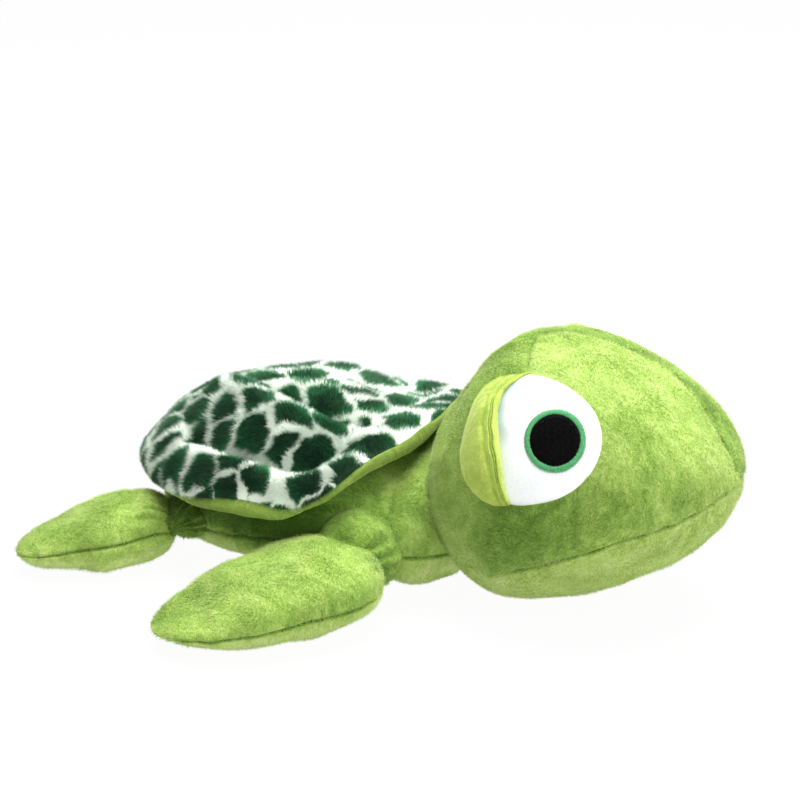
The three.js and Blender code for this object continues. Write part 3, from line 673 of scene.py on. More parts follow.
left_strip = past_seam * smooth_step(to_middle_seam, *left_strip_widths)
face = smooth_step(from_top, *face_turns) * smooth_step(to_dart, *face_from) * (1 - past_seam)
under_eye = crease(head_turns - under_eye_turn[0], under_eye_turn[1])
under_eye = under_eye * crease(head_shares - under_eye_share[0], under_eye_share[1])
in_chin_panel = np.arange(len(head_turns[0])) > 2 * side_columns
# Where the seams are: their grooves get painted shade, and they are kept free of pile
head_stitches = at_ends * (
    chin_seam_darker * crease(to_chin_seam, stitch_width) * chin_there + crease(to_middle_seam, 0.0008)
    + crease(to_dart, stitch_width) * dart_there)
head_painted_light_and_shade = (behind_dart_painted_shade * behind_dart * (1 - left_strip) + left_strip_painted_shade * left_strip
             + face_painted_light * face + under_eye_painted_shade * under_eye + seam_painted_shade * head_stitches
             + cheek_painted_shade * at_cheek + chin_painted_light * in_chin_panel)
add_values(head_plush, "tint", with_ends(head_painted_light_and_shade))
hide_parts("head_stuffing", "head_side_right", "head_side_left", "chin_cover")
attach(head_plush, "head")

# Eyes: a flat disc of white satin cloth sewn on each side panel, a ring of satin stitch round a
# pupil of black fill stitch, and a padded plush lid with a topstitched edge, sewn on behind.
# Outlines are pairs of turn and distance about the white's middle, which lies behind the pupil's.
eye_share, eye_turn, eye_tilt = 0.52, 0.095, math.radians(15)
white_back, white_rise = 0.0105, 0.0045
white_outline = smooth_line([
    (0, 0.0336), (0.061, 0.0322), (0.121, 0.0308), (0.172, 0.0312), (0.22, 0.0325), (0.263, 0.0345),
    (0.35, 0.034), (0.6, 0.034), (0.683, 0.0350), (0.747, 0.0334), (0.844, 0.0337), (0.933, 0.0343),
    (1, 0.0336)])
lid_inner_line = smooth_line([
    (0.260, 0.0350), (0.294, 0.0318), (0.318, 0.0303), (0.339, 0.0283), (0.362, 0.0256), (0.390, 0.0229),
    (0.422, 0.0202), (0.477, 0.0177), (0.520, 0.0174), (0.566, 0.0185), (0.628, 0.0240), (0.663, 0.0305),
    (0.684, 0.0350)])
lid_outer_line = smooth_line([
    (0.260, 0.0352), (0.286, 0.0366), (0.310, 0.0385), (0.337, 0.0402), (0.361, 0.0408), (0.385, 0.0401),
    (0.442, 0.0382), (0.484, 0.0388), (0.517, 0.0402), (0.545, 0.0411), (0.574, 0.0415), (0.598, 0.0411),
    (0.631, 0.0400), (0.651, 0.0388), (0.684, 0.0352)])
lid_span = (0.260, 0.684)
sides = {"right": 1, "left": -1}

head_tree = BVHTree.FromPolygons(
    [v.co for v in head_plush.data.vertices], [tuple(p.vertices) for p in head_plush.data.polygons])


def eye_axes():
    """The pupil's middle on the head, with the ways forward, up and out of the eye"""
    step = 1e-3
    point, further, turned = (
        form_points(head_form, np.array(eye_share + ds), np.array(eye_turn + dt))
        for ds, dt in ((0, 0), (step, 0), (0, step)))
    forward = (further - point) / np.linalg.norm(further - point)
    out = np.cross(forward, turned - point)
    out /= np.linalg.norm(out)
    up = np.cross(out, forward)
    lean = math.cos(eye_tilt) * forward + math.sin(eye_tilt) * up
    return point, lean, np.cross(out, lean), out


eye_point, eye_forward, eye_up, eye_out = eye_axes()
ray_start = 0.04


def on_head(flat, side):
    """Places (forward, up, lift) beside the pupil's middle, laid on the head on one side"""
    place = eye_point + flat[:, :1] * eye_forward + flat[:, 1:2] * eye_up
    laid = np.empty((len(flat), 3))
    towards = Vector(-eye_out)
    for k, spot in enumerate(place):
        hit, normal, _, _ = head_tree.ray_cast(Vector(spot + ray_start * eye_out), towards)
        laid[k] = np.array(hit) + flat[k, 2] * (0.5 * np.array(normal) + 0.5 * eye_out)
    return laid * np.array([1, side, 1])


def round_white(distance, turn, lift):
    """Places (forward, up, lift) at a distance and a turn about the white's middle"""
    angle = 2 * math.pi * turn
    return np.stack(np.broadcast_arrays(
        distance * np.cos(angle) - white_back, distance * np.sin(angle) + white_rise, lift), -1)


def laid_loft(name, flat, poles, side, material):
    """A closed form drawn beside the pupil's middle and laid on the head"""
    rows = on_head(flat.reshape(-1, 3), side).reshape(flat.shape)
    return closed_loft(name, rows, *on_head(np.array(poles), side), material)


# Woven satin cloth: smooth and close, with a faint soft gloss
weave_size = 0.0008


def satin_material():
    material, tree = new_material("polyester satin, white")
    place = add_node(tree, "ShaderNodeTexCoord").outputs["Object"]
    weave = add_node(tree, "ShaderNodeTexNoise", {"Vector": place, "Scale": 1 / weave_size, "Detail": 1.0})
    ramp = add_node(tree, "ShaderNodeValToRGB", {"Fac": weave})
    colour_steps(ramp, [(0.3, "#EDF1F0"), (0.7, "#FAFCFB")])
    # Painted shadow: the white is mixed towards blue grey where the lid's edge would shade it
    shade = add_node(tree, "ShaderNodeAttribute", attribute_name="shade").outputs["Fac"]
    shaded = add_node(tree, "ShaderNodeMixRGB", {0: shade, 1: ramp, 2: linear("#8FA3AB")})
    bump = add_node(tree, "ShaderNodeBump", {"Height": weave, "Strength": 0.1, "Distance": 0.0002})
    shader = add_node(tree, "ShaderNodeBsdfPrincipled", {
        "Base Color": shaded, "Roughness": 0.6, "Specular IOR Level": 0.35, "Sheen Weight": 0.1,
        "Normal": bump})
    add_node(tree, "ShaderNodeOutputMaterial", {"Surface": shader})
    return material


# The lid's upper half stands further out, and the cloth under its edge gets a painted soft shadow
lid_shadow, lid_shadow_reach, lid_shadow_power = 0.9, (0.011, -0.001), 1.3
lid_shadow_from, lid_shadow_to = (0.26, 0.31), (0.66, 0.42)
white_lift, white_edge, white_seat, white_base = 0.0012, 0.0018, 0.0001, -0.0006
rings, spokes = 26, 128
white_satin = satin_material()
white_turns = np.arange(spokes) / spokes
white_distances = np.sin(np.linspace(0, math.pi / 2, rings + 1)[1:, None]) * white_outline(white_turns)
white_bulge = np.sqrt(np.clip((white_outline(white_turns) - white_distances) / white_edge, 0, 1))
white_top = round_white(white_distances, white_turns, white_lift * white_bulge + white_seat)
white_below = round_white(white_distances, white_turns, white_base)[::-1]
in_shadow = smooth_step(lid_inner_line(white_turns) - white_distances, *lid_shadow_reach) ** lid_shadow_power
in_shadow *= smooth_step(white_turns, *lid_shadow_from) * smooth_step(white_turns, *lid_shadow_to)
for name, side in sides.items():
    eye_white = laid_loft(
        f"eye_white_cloth_{name}", np.concatenate([white_top, white_below]),
        [round_white(0, 0, white_lift), round_white(0, 0, white_base)], side, white_satin)
    add_values(eye_white, "shade", with_ends([lid_shadow * in_shadow, np.zeros((rings, spokes))]))
    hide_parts(f"eye_white_{name}")
    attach(eye_white, "head")

# Embroidery: rayon thread, laid side by side in satin stitch on the ring and in rows on the pupil.
# Each stitch is a bead of thread of its own, pulled down at both ends.
ring_radius, pupil_radius = 0.0154, 0.0123
thread_lift = white_lift + 0.0004
strand_size = 0.0006


def thread_material(name, dark, light, roughness, gloss):
    material, tree = new_material(name)
    place = add_node(tree, "ShaderNodeTexCoord").outputs["Object"]
    strand = add_node(tree, "ShaderNodeTexNoise", {"Vector": place, "Scale": 1 / strand_size, "Detail": 2.0})
    ramp = add_node(tree, "ShaderNodeValToRGB", {"Fac": strand})
    colour_steps(ramp, [(0.3, dark), (0.7, light)])
    bump = add_node(tree, "ShaderNodeBump", {"Height": strand, "Strength": 0.3, "Distance": 0.0002})
    shader = add_node(tree, "ShaderNodeBsdfPrincipled", {
        "Base Color": ramp, "Roughness": roughness, "Specular IOR Level": gloss, "Normal": bump})
    add_node(tree, "ShaderNodeOutputMaterial", {"Surface": shader})
    return material


green_thread = thread_material("rayon thread, green", "#2C8A4C", "#70C488", 0.45, 0.4)
black_thread = thread_material("rayon thread, black", "#030303", "#0A0A0A", 0.8, 0.05)


def satin_ring_tree():
    """Stitches laid side by side round a ring, each lying across it"""
    tree, given = new_tree("satin_stitch_ring", {
        "Stitches": ("Int", 132), "Radius": ("Float", (ring_radius + pupil_radius) / 2),
        "Stitch": ("Vector", (0.0036, 0.00078, 0.0019)), "Uneven": ("Float", 0.09), "Seed": ("Int", 7)})
    ring = add_node(tree, "GeometryNodeMeshCircle", {
        "Vertices": given["Stitches"], "Radius": given["Radius"]})
    bead = add_node(tree, "GeometryNodeMeshUVSphere", {"Segments": 8, "Rings": 6, "Radius": 0.5})
    shaped = add_node(tree, "GeometryNodeTransform", {"Geometry": bead, "Scale": given["Stitch"]})
    place = add_node(tree, "GeometryNodeInputPosition")
    turned = add_node(tree, "FunctionNodeAlignRotationToVector", {"Vector": place}, axis="X")
    least, most = (add_node(tree, "ShaderNodeMath", {0: 1.0, 1: given["Uneven"]}, operation=operation)
                   for operation in ("SUBTRACT", "ADD"))
    size = add_node(tree, "FunctionNodeRandomValue", {
        2: least, 3: most, "Seed": given["Seed"]}, data_type="FLOAT").outputs[1]
    sewn = add_node(tree, "GeometryNodeInstanceOnPoints", {
        "Points": ring, "Instance": shaped, "Rotation": turned, "Scale": size})
    real = add_node(tree, "GeometryNodeRealizeInstances", {"Geometry": sewn})
    painted = add_node(tree, "GeometryNodeSetMaterial", {"Geometry": real, "Material": green_thread})
    add_node(tree, "NodeGroupOutput", {0: painted})
    return tree


def fill_stitch_tree():
    """Rows of stitches that fill a disc, each row begun at another place"""
    tree, given = new_tree("fill_stitch", {
        "Radius": ("Float", pupil_radius - 0.0013), "Stitch": ("Vector", (0.0036, 0.00052, 0.0006)),
        "Seed": ("Int", 5)})
    pitch, run, across, down = 0.00042, 0.0031, 11, 61
    grid = add_node(tree, "GeometryNodeMeshGrid", {
        "Size X": (across - 1) * run, "Size Y": (down - 1) * pitch, "Vertices X": across, "Vertices Y": down})
    drawn = add_node(tree, "FunctionNodeRandomValue", {
        "Min": (-run / 3, 0, 0), "Max": (run / 3, 0, 0), "Seed": given["Seed"]}, data_type="FLOAT_VECTOR")
    moved = add_node(tree, "GeometryNodeSetPosition", {"Geometry": grid, "Offset": drawn})
    place = add_node(tree, "GeometryNodeInputPosition")
    away = add_node(tree, "ShaderNodeVectorMath", {0: place}, operation="LENGTH").outputs["Value"]
    outside = add_node(tree, "FunctionNodeCompare", {0: away, 1: given["Radius"]},
                       operation="GREATER_THAN", data_type="FLOAT")
    kept = add_node(tree, "GeometryNodeDeleteGeometry", {"Geometry": moved, "Selection": outside})
    bead = add_node(tree, "GeometryNodeMeshUVSphere", {"Segments": 8, "Rings": 4, "Radius": 0.5})
    shaped = add_node(tree, "GeometryNodeTransform", {"Geometry": bead, "Scale": given["Stitch"]})
    sewn = add_node(tree, "GeometryNodeInstanceOnPoints", {"Points": kept, "Instance": shaped})
    real = add_node(tree, "GeometryNodeRealizeInstances", {"Geometry": sewn})
    painted = add_node(tree, "GeometryNodeSetMaterial", {"Geometry": real, "Material": black_thread})
    add_node(tree, "NodeGroupOutput", {0: painted})
    return tree


def stitches_of(tree):
    """What a tree of stitches makes, as an array of points and a list of faces"""
    holder = bpy.data.objects.new(tree.name, bpy.data.meshes.new(tree.name))
    bpy.context.scene.collection.objects.link(holder)
    mesh = made_by(tree, holder, {})
    stitches = places_of(mesh), [tuple(face.vertices) for face in mesh.polygons]
    bpy.data.objects.remove(holder)
    bpy.data.meshes.remove(mesh)
    return stitches


backing_spokes = 64


def backing_rows(radius, low, high):
    """A flat disc of backing below the stitches, as rows in the eye's own plane"""
    angle = 2 * math.pi * np.arange(backing_spokes) / backing_spokes
    rows = ((0.34, high), (0.67, high), (1, high), (1, low), (0.5, low))
    return np.stack([np.stack(np.broadcast_arrays(
        radius * share * np.cos(angle), radius * share * np.sin(angle), lift), -1) for share, lift in rows])


def join_meshes(first, second):
    """Puts the second object's mesh into the first"""
    with bpy.context.temp_override(active_object=first, selected_editable_objects=[first, second]):
        bpy.ops.object.join()


# Each is a little taller than it is wide: its stitches, thread, radius, lift, stretch and rise
embroidery = {
    "eye_ring": (stitches_of(satin_ring_tree()), green_thread, ring_radius - 0.0006,
                 thread_lift - 0.0002, 1.06, 0.0010),
    "eye_pupil": (stitches_of(fill_stitch_tree()), black_thread, pupil_radius + 0.0004,
                  thread_lift + 0.0003, 1.055, 0.0009),
}
for name, side in sides.items():
    for label, ((points, faces), thread, radius, lift, taller, higher) in embroidery.items():
        stretch, shift = np.array([1, taller, 1]), np.array([0, higher, 0])
        flat = points * stretch + shift + np.array([0, 0, lift])
        made = piece_from(
            f"{label}_thread_{name}", on_head(flat, side), [face[::side] for face in faces], thread)
        backing = laid_loft(
            f"{label}_backing_{name}", backing_rows(radius, white_lift, lift) * stretch + shift,
            [[0, higher, lift], [0, higher, white_lift]], side, thread)
        join_meshes(made, backing)
        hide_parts(f"{label}_{name}")
        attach(made, "head")

# Eyelids: padded crescents of a paler plush, with a topstitched free edge that stands over the white.
# Two rows of topstitching and a fold run along the edge, thinner padding leaves the upper corner
# lower, and the outer edge is turned in and sewn down.
lid_thickness, lid_columns, lid_across, lid_under = 0.006, 150, 84, 24
lid_corner_share, lid_corner_places = 0.42, (0.08, 0.36)
# Each crease's dark value is how much painted shade its groove gets
lid_creases = [
    {"place": 0.0024, "depth": 0.0014, "width": 0.00040, "dark": 0.34},
    {"place": 0.0035, "depth": 0.0012, "width": 0.00040, "dark": 0.34},
    {"place": 0.0066, "depth": 0.0016, "width": 0.0017, "dark": 0.14},
]
lid_wander, lid_wanders = 0.0003, 5
lid_over_white, lid_tucked, lid_tuck_places, lid_seat = 0.0004, 0.9, (0.3, 0.95), 0.0003
lid_nap_density, lid_nap_long = 1.5e6, 0.5
lid_plush = plush_material("short pile plush, pale lime", [
    (0.0, "#92AF3E"), (0.35, "#B8D258"), (0.62, "#D2E870"), (1.0, "#EAFA9C")], "#F6FFC4")


def lid_rows():
    """A lid's rows over its top and back below, and the painted shade in its creases"""
    along = (np.arange(1, lid_columns) / lid_columns)[:, None]
    turn = lid_span[0] + (lid_span[1] - lid_span[0]) * along
    inner = lid_inner_line(turn)
    broad = np.maximum(lid_outer_line(turn) - inner, 0.0001)
    across = np.linspace(0, 1, lid_across)[None, :] ** 1.4
    inset = across * broad
    corner = lid_corner_share + (1 - lid_corner_share) * smooth_step(along, *lid_corner_places)
    taper = fullness(along, 0.5, 0.5) * corner
    rise = lid_thickness * taper * np.maximum(0, np.sin(math.pi * across ** 0.5)) ** 0.5
    wander = lid_wander * np.sin(2 * math.pi * along * lid_wanders)
    in_creases = [crease(inset - line["place"] - wander, line["width"]) for line in lid_creases]
    for line, there in zip(lid_creases, in_creases):
        rise = rise - taper * line["depth"] * there
    tucked = (white_lift + lid_over_white) * (1 - lid_tucked * smooth_step(across, *lid_tuck_places))
    top = round_white(inner + inset, turn, tucked + np.maximum(rise, 0))
    under = np.linspace(1, 0, lid_under)[None, 1:-1]
    below = round_white(inner + under * broad, turn, lid_seat)
    # Painted shade in the topstitch grooves and the fold
    dark = sum(line["dark"] * there for line, there in zip(lid_creases, in_creases))
    return np.concatenate([top, below], axis=1), np.concatenate([-dark, 0 * under + 0 * broad], axis=1)


rows, lid_crease_painted_shade = lid_rows()
lid_ends = [round_white(lid_outer_line(turn), turn, white_lift) for turn in lid_span]
lid_bare = np.zeros(lid_crease_painted_shade.shape)
lid_bare[:, lid_across:] = 1
for name, side in sides.items():
    eyelid = laid_loft(f"eyelid_plush_{name}", rows, lid_ends, side, lid_plush)
    add_values(eyelid, "tint", with_ends(lid_crease_painted_shade))
    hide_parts(f"eyelid_{name}")
    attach(eyelid, "head")
    grow_nap(eyelid, lambda nap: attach(nap, "head"), with_ends(lid_bare, 1, 1),
             lid_nap_density, long=lid_nap_long)

eye_depth, eye_edge = 0.03, (-0.0002, 0.0008)


def under_eyes(points):
    """1 where the head is covered by a white or a lid, which leave no room for pile"""
    x, y, z = points.T
    place = np.stack([x, -np.abs(y), z], -1) - eye_point
    forward, up = place @ eye_forward + white_back, place @ eye_up - white_rise
    distance, turn = np.hypot(forward, up), (np.arctan2(up, forward) / (2 * math.pi)) % 1
    in_lid = (turn > lid_span[0]) & (turn < lid_span[1])
    outline = np.where(in_lid, lid_outer_line(turn), white_outline(turn))
    near = np.abs(place @ eye_out) < eye_depth
    return near * smooth_step(outline - distance, *eye_edge)


head_bare = np.maximum(under_eyes(places_of(head_plush.data)), with_ends(np.clip(head_stitches, 0, 1)))
grow_nap(head_plush, lambda nap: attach(nap, "head"), head_bare, 0.85e6, parts=2)

# Shell: a padded cape on the back. Its cover is long-pile fur printed with dark green cells on pale
# mint, its lining is lime plush, and the two are sewn together round the rim with wadding between.
# Wear and the loose wadding leave long soft ridges and hollows in it.
shell_middle, shell_front, shell_rear, shell_half_width = -0.003, 0.093, 0.092, 0.092
shell_top, shell_rim_height, shell_rim_thickness = 0.094, 0.090, 0.010
shell_dip, shell_dip_place, shell_dip_reach = 0.010, 0.05766, 0.0279
shell_front_power, shell_rear_power, shell_dome = 0.8, 1.18, 3
shell_sides, shell_rings, bend_rows, lining_bend_rows, below_rows = 300, 96, 15, 26, 40
rim_line = smooth_line([(0, 1), (0.2, 0.92), (0.36, 0.74), (0.5, 0.64), (0.7, 0.56), (1, 0.45)])

# How far round the rim's edge the fur's seam lies, from 90 degrees on top to -90 below
seam_angle_line = smooth_line([
    (0, 30), (0.04, 72), (0.10, 72), (0.16, 66), (0.22, 40), (0.28, -12), (0.34, -46), (0.38, -25),
    (0.42, 32), (0.46, 50), (0.50, 28), (0.545, -15), (0.60, -46), (0.78, -52), (1, -50)])

# Ridges and hollows: height, reach to each side, and the places in plan that each runs through
shell_folds = [
    (0.0050, 0.0110, [(-0.034, -0.024), (-0.008, -0.031), (0.020, -0.039), (0.044, -0.041), (0.062, -0.042)]),
    (-0.0055, 0.0085, [(-0.012, -0.015), (0.012, -0.022), (0.032, -0.026), (0.052, -0.026)]),
    (0.0030, 0.0100, [(-0.036, -0.020), (-0.014, -0.015), (0.010, -0.003), (0.032, 0.014), (0.050, 0.022)]),
    (-0.0050, 0.0080, [(-0.020, 0.003), (0.004, 0.011), (0.026, 0.028), (0.044, 0.037)]),
    (-0.0020, 0.0160, [(-0.010, 0.034), (0.020, 0.044), (0.050, 0.046)]),
    (-0.0070, 0.0080, [(-0.034, -0.052), (-0.012, -0.063), (0.008, -0.066), (0.028, -0.067),
                       (0.042, -0.062), (0.056, -0.050)]),
    (-0.0040, 0.0100, [(-0.030, -0.050), (-0.042, -0.040)]),
    (0.0025, 0.0090, [(-0.040, -0.072), (-0.012, -0.078), (0.010, -0.080), (0.030, -0.079),
                      (0.044, -0.073), (0.058, -0.058)]),
    (-0.0060, 0.0080, [(-0.046, 0.050), (-0.020, 0.064), (0.008, 0.070), (0.036, 0.066), (0.056, 0.050)]),
    (-0.0040, 0.0100, [(-0.050, -0.004), (-0.070, -0.010), (-0.086, -0.020)]),
    (-0.0030, 0.0110, [(0.064, 0.022), (0.078, 0.026)]),
    (-0.0036, 0.0036, [(-0.016, -0.016), (0.012, -0.024), (0.032, -0.028), (0.056, -0.028)]),
    (-0.0040, 0.0038, [(-0.036, -0.051), (-0.012, -0.062), (0.008, -0.065), (0.028, -0.066),
                       (0.044, -0.060)]),
    (-0.0028, 0.0034, [(-0.022, 0.001), (0.004, 0.009), (0.026, 0.026), (0.042, 0.035)]),
    (-0.0040, 0.0060, [(-0.028, -0.053), (-0.046, -0.042), (-0.058, -0.026)]),
    (-0.0026, 0.0045, [(-0.052, -0.030), (-0.040, -0.012), (-0.022, -0.006)]),
]
rim_wave, rim_waves, rim_wave_turn, rim_wave_power = 0.0016, 7, 0.6, 8
near_sag, near_sag_share, near_sag_reach = 0.0055, 0.37, 0.13
shell_drops = [(0.0048, (-0.035, 0.032), 0.036), (0.0062, (0.048, 0.034), 0.032)]
over_body, over_body_soft, lining_over_body = 0.0064, 0.0025, 0.0006


def to_path(x, y, path):
    """How far each place in plan lies from a path of short straight runs"""
    nearest = np.full(x.shape, 1.0)
    for (ax, ay), (bx, by) in zip(path, path[1:]):
        run = (bx - ax) ** 2 + (by - ay) ** 2
        t = np.clip(((x - ax) * (bx - ax) + (y - ay) * (by - ay)) / run, 0, 1)
        nearest = np.minimum(nearest, np.hypot(x - ax - t * (bx - ax), y - ay - t * (by - ay)))
    return nearest


def back_top(x, y):
    """The height of the back over a place, or the ground beside the body"""
    share = np.clip((x + body_rear) / body_length, 0.001, 0.999)
    across = np.clip(np.abs(y) / body_form["half"](share), 0, 1)
    cosine = across ** (1 / body_round)
    height = body_middle(share) + body_form["rise"](share) * np.sqrt(1 - cosine ** 2) ** body_round
    return np.where((across < 1) & (x > -body_rear) & (x < body_front), height, 0)


def shell_plan(ring, angle):
    """A place in plan, from its share of the way out to the rim and its angle from the front"""
    ahead = np.cos(angle) > 0
    power = np.where(ahead, shell_front_power, shell_rear_power)
    reach = np.where(ahead, shell_front, shell_rear)
    return (shell_middle + ring * reach * rounded(np.cos(angle), power),
            ring * shell_half_width * rounded(np.sin(angle), power))


def shell_upper(x, y, ring, angle):
    """The height of the shell's upper side, which folds and sags but stays clear of the back"""
    rim = shell_rim_height * rim_line(np.abs(angle) / math.pi)
    dip = shell_dip * crease(x - shell_dip_place, shell_dip_reach)
    folds = sum(height * crease(to_path(x, y, path), width) for height, width, path in shell_folds)
    edge = rim_wave * np.sin(rim_waves * angle + rim_wave_turn) * ring ** rim_wave_power
    edge = edge - near_sag * crease(-angle / math.pi - near_sag_share, near_sag_reach) * ring ** 3
    for drop, place, reach in shell_drops:
        edge = edge - drop * crease(np.hypot(x - place[0], y - place[1]), reach)
    height = rim + (shell_top - rim - dip) * (1 - ring ** shell_dome) + folds * (1 - ring ** 14) + edge
    least = back_top(x, y) + over_body
    return np.maximum(height, least) + 0.0010 * crease(height - least, over_body_soft)


shell_angles = (2 * math.pi * np.arange(shell_sides) / shell_sides + math.pi) % (2 * math.pi) - math.pi
rim_ring = shell_rim_thickness / 2 / shell_half_width
top_rings = np.linspace(0, 1 - rim_ring, shell_rings)[1:]


def shell_rows(rim_angles, inset, rings_below=()):
    """Rows of the shell over the top, round the rim to the given angles and back underneath"""
    rows = []
    for ring in top_rings:
        x, y = shell_plan(ring, shell_angles)
        rows.append([x, y, shell_upper(x, y, ring, shell_angles) - inset])
    half = shell_rim_thickness / 2
    for bend in rim_angles:
        ring = 1 - rim_ring * (1 - np.cos(bend) * (half - inset) / half)
        x, y = shell_plan(ring, shell_angles)
        rows.append([x, y, shell_upper(x, y, ring, shell_angles) - half + np.sin(bend) * (half - inset)])
    for ring in rings_below:
        x, y = shell_plan(ring, shell_angles)
        low = shell_upper(x, y, ring, shell_angles) - shell_rim_thickness
        rows.append([x, y, np.maximum(low, back_top(x, y) + lining_over_body)])
    return np.moveaxis(np.array(rows), 1, -1)


# Long-pile polyester fur: each hair takes its colour from the print where it is rooted, painted darker
# deep down as shade in the pile and paler at its tip as painted light, with a soft sheen along the pile.
# The print is a layout of cells, with uneven gaps between them and edges that the hairs blur.
cell_size, cell_random, gap_share, gap_blur = 0.0245, 0.80, 0.218, 0.06
warp_size, warp_reach, uneven_size, uneven_share = 0.011, 0.010, 0.017, 0.34
hairy_size, hairy_share, streak_size = 0.0014, 0.16, 0.0007
cell_reach = (0.65, 0.57)
fur_green = [(0.0, "#0A3019"), (0.4, "#15582E"), (0.7, "#237243"), (1.0, "#46A068")]
fur_mint = [(0.25, "#E4F9DE"), (0.6, "#FBFFF8")]


def fur_material():
    material, tree = new_material("long pile fur, printed")
    root = add_node(tree, "ShaderNodeAttribute", attribute_name="print").outputs["Vector"]
    warp, hairy, broad, streak = (
        add_node(tree, "ShaderNodeTexNoise", {"Vector": root, "Scale": 1 / size, "Detail": detail})
        for size, detail in ((warp_size, 1.0), (hairy_size, 2.0), (uneven_size, 0.0), (streak_size, 0.0)))
    warped = add_node(tree, "ShaderNodeMixRGB", {
        0: warp_reach, 1: root, 2: warp.outputs["Color"]}, blend_type="ADD")
    cells = {"Vector": warped, "Scale": 1 / cell_size, "Randomness": cell_random}
    edge, middle = (
        add_node(tree, "ShaderNodeTexVoronoi", cells, voronoi_dimensions="2D", feature=feature)
        .outputs["Distance"] for feature in ("DISTANCE_TO_EDGE", "F1"))
    jitter = add_node(tree, "ShaderNodeMath", {
        0: hairy, 1: hairy_share, 2: -hairy_share / 2}, operation="MULTIPLY_ADD")
    uneven = add_node(tree, "ShaderNodeMath", {
        0: broad, 1: uneven_share, 2: jitter}, operation="MULTIPLY_ADD")
    from_edge = add_node(tree, "ShaderNodeMath", {0: edge, 1: uneven}, operation="ADD")
    in_gap = add_node(tree, "ShaderNodeMapRange", {
        "Value": from_edge, "From Min": gap_share, "From Max": gap_share + gap_blur})
    from_middle = add_node(tree, "ShaderNodeMath", {0: middle, 1: jitter}, operation="ADD")
    in_cell = add_node(tree, "ShaderNodeMapRange", {
        "Value": from_middle, "From Min": cell_reach[0], "From Max": cell_reach[1]})
    spot = add_node(tree, "ShaderNodeMath", {0: in_gap, 1: in_cell}, operation="MULTIPLY")
    deep = add_node(tree, "ShaderNodeMapRange", {"Value": middle, "From Min": 0.15, "From Max": 0.55})
    strong = add_node(tree, "ShaderNodeMapRange", {
        "Value": streak, "From Min": 0.3, "From Max": 0.7, "To Min": -0.25, "To Max": 0.45})
    shade = add_node(tree, "ShaderNodeMath", {0: deep, 1: 0.55, 2: strong}, operation="MULTIPLY_ADD")
    green = add_node(tree, "ShaderNodeValToRGB", {"Fac": shade})
    colour_steps(green, fur_green)
    mint = add_node(tree, "ShaderNodeValToRGB", {"Fac": hairy})
    colour_steps(mint, fur_mint)
    # Painted shade at each hair's root and painted light at its tip
    along = add_node(tree, "ShaderNodeAttribute", attribute_name="along").outputs["Fac"]
    tip = add_node(tree, "ShaderNodeMapRange", {"Value": along, "To Min": 0.5, "To Max": 1.2})
    lit = add_node(tree, "ShaderNodeVectorMath", {0: green, "Scale": tip}, operation="SCALE")
    colour = add_node(tree, "ShaderNodeMixRGB", {0: spot, 1: mint, 2: lit})
    shader = add_node(tree, "ShaderNodeBsdfPrincipled", {
        "Base Color": colour, "Roughness": 0.75, "Specular IOR Level": 0.25, "Sheen Weight": 0.2,
        "Sheen Roughness": 0.5, "Sheen Tint": linear("#BFF0C8")})
    add_node(tree, "ShaderNodeOutputMaterial", {"Surface": shader})
    return material


# The cover's cloth lies under its pile: over the top, round the rim to the seam, and back inside
pile_height, fur_cloth, inner_bend = 0.0028, 0.0012, 0.06
seam_bend = np.radians(seam_angle_line(np.abs(shell_angles) / math.pi))
cover_bends = [math.pi / 2 + (seam_bend - math.pi / 2) * t for t in np.linspace(0, 1, bend_rows)[1:]]
outer_rows = shell_rows(cover_bends, pile_height)
inner_rows = shell_rows([bend + inner_bend for bend in cover_bends[:-1]], pile_height + fur_cloth)
cover_rows = np.concatenate([outer_rows, inner_rows[::-1]])
printed_fur = fur_material()
shell_cover = closed_loft(
    "shell_fur_cloth", cover_rows, cover_rows[0].mean(axis=0), cover_rows[-1].mean(axis=0), printed_fur)

# The cloth is printed flat: a place in the print is measured along the cloth from its middle
steps = np.linalg.norm(np.diff(outer_rows, axis=0, prepend=outer_rows[:1]), axis=-1)
steps[0] = np.hypot(outer_rows[0, :, 0] - shell_middle, outer_rows[0, :, 1])
run = np.cumsum(steps, axis=0)
towards = outer_rows[..., :2] - np.array([shell_middle, 0])
towards /= np.linalg.norm(towards, axis=-1, keepdims=True)
outer_print = np.concatenate([towards * run[..., None], np.zeros(run.shape + (1,))], -1)
cloth_print = np.concatenate([outer_print, outer_print[:-1][::-1]])
add_values(shell_cover, "print", np.concatenate([[[0, 0, 0]], cloth_print.reshape(-1, 3), [[0, 0, 0]]]))

# The pile is combed outwards and to the rear, shorter beside the seam, and hangs over the low rim
fur_density, fur_length, fur_width, fur_loose, fur_tufted = 1.8e6, 0.0045, 0.0004, 0.4, 1.3
short_share, short_reach = 0.55, 0.010
comb_out, comb_lean, comb_hang = np.array([0.55, 0.55, 0]), np.array([-0.25, 0, -0.15]), 1.1
comb_at_seam, comb_reach, hang_reach, hang_bend = 0.25, (0.004, 0.014), (0.010, 0.002), 0.6
comb_swept, comb_swept_size, comb_middle = 0.3, 0.03, [-0.5, 0, 0]
to_rim = run[-1] - run
inside = np.zeros(inner_rows[..., 0].size)
add_values(shell_cover, "pile", with_ends(np.concatenate([np.ones(run.size), inside]), start=1))
long_share = short_share + (1 - short_share) * smooth_step(to_rim, 0, short_reach)
add_values(shell_cover, "long", with_ends(np.concatenate([long_share.ravel(), inside + 1]), 1, 1))
outward = outer_rows - np.array([shell_middle, 0, 0.05])
outward /= np.linalg.norm(outward, axis=-1, keepdims=True)
combed = comb_at_seam + (1 - comb_at_seam) * smooth_step(to_rim, *comb_reach)
hanging = smooth_step(to_rim, *hang_reach) * smooth_step(-seam_bend, 0, hang_bend)
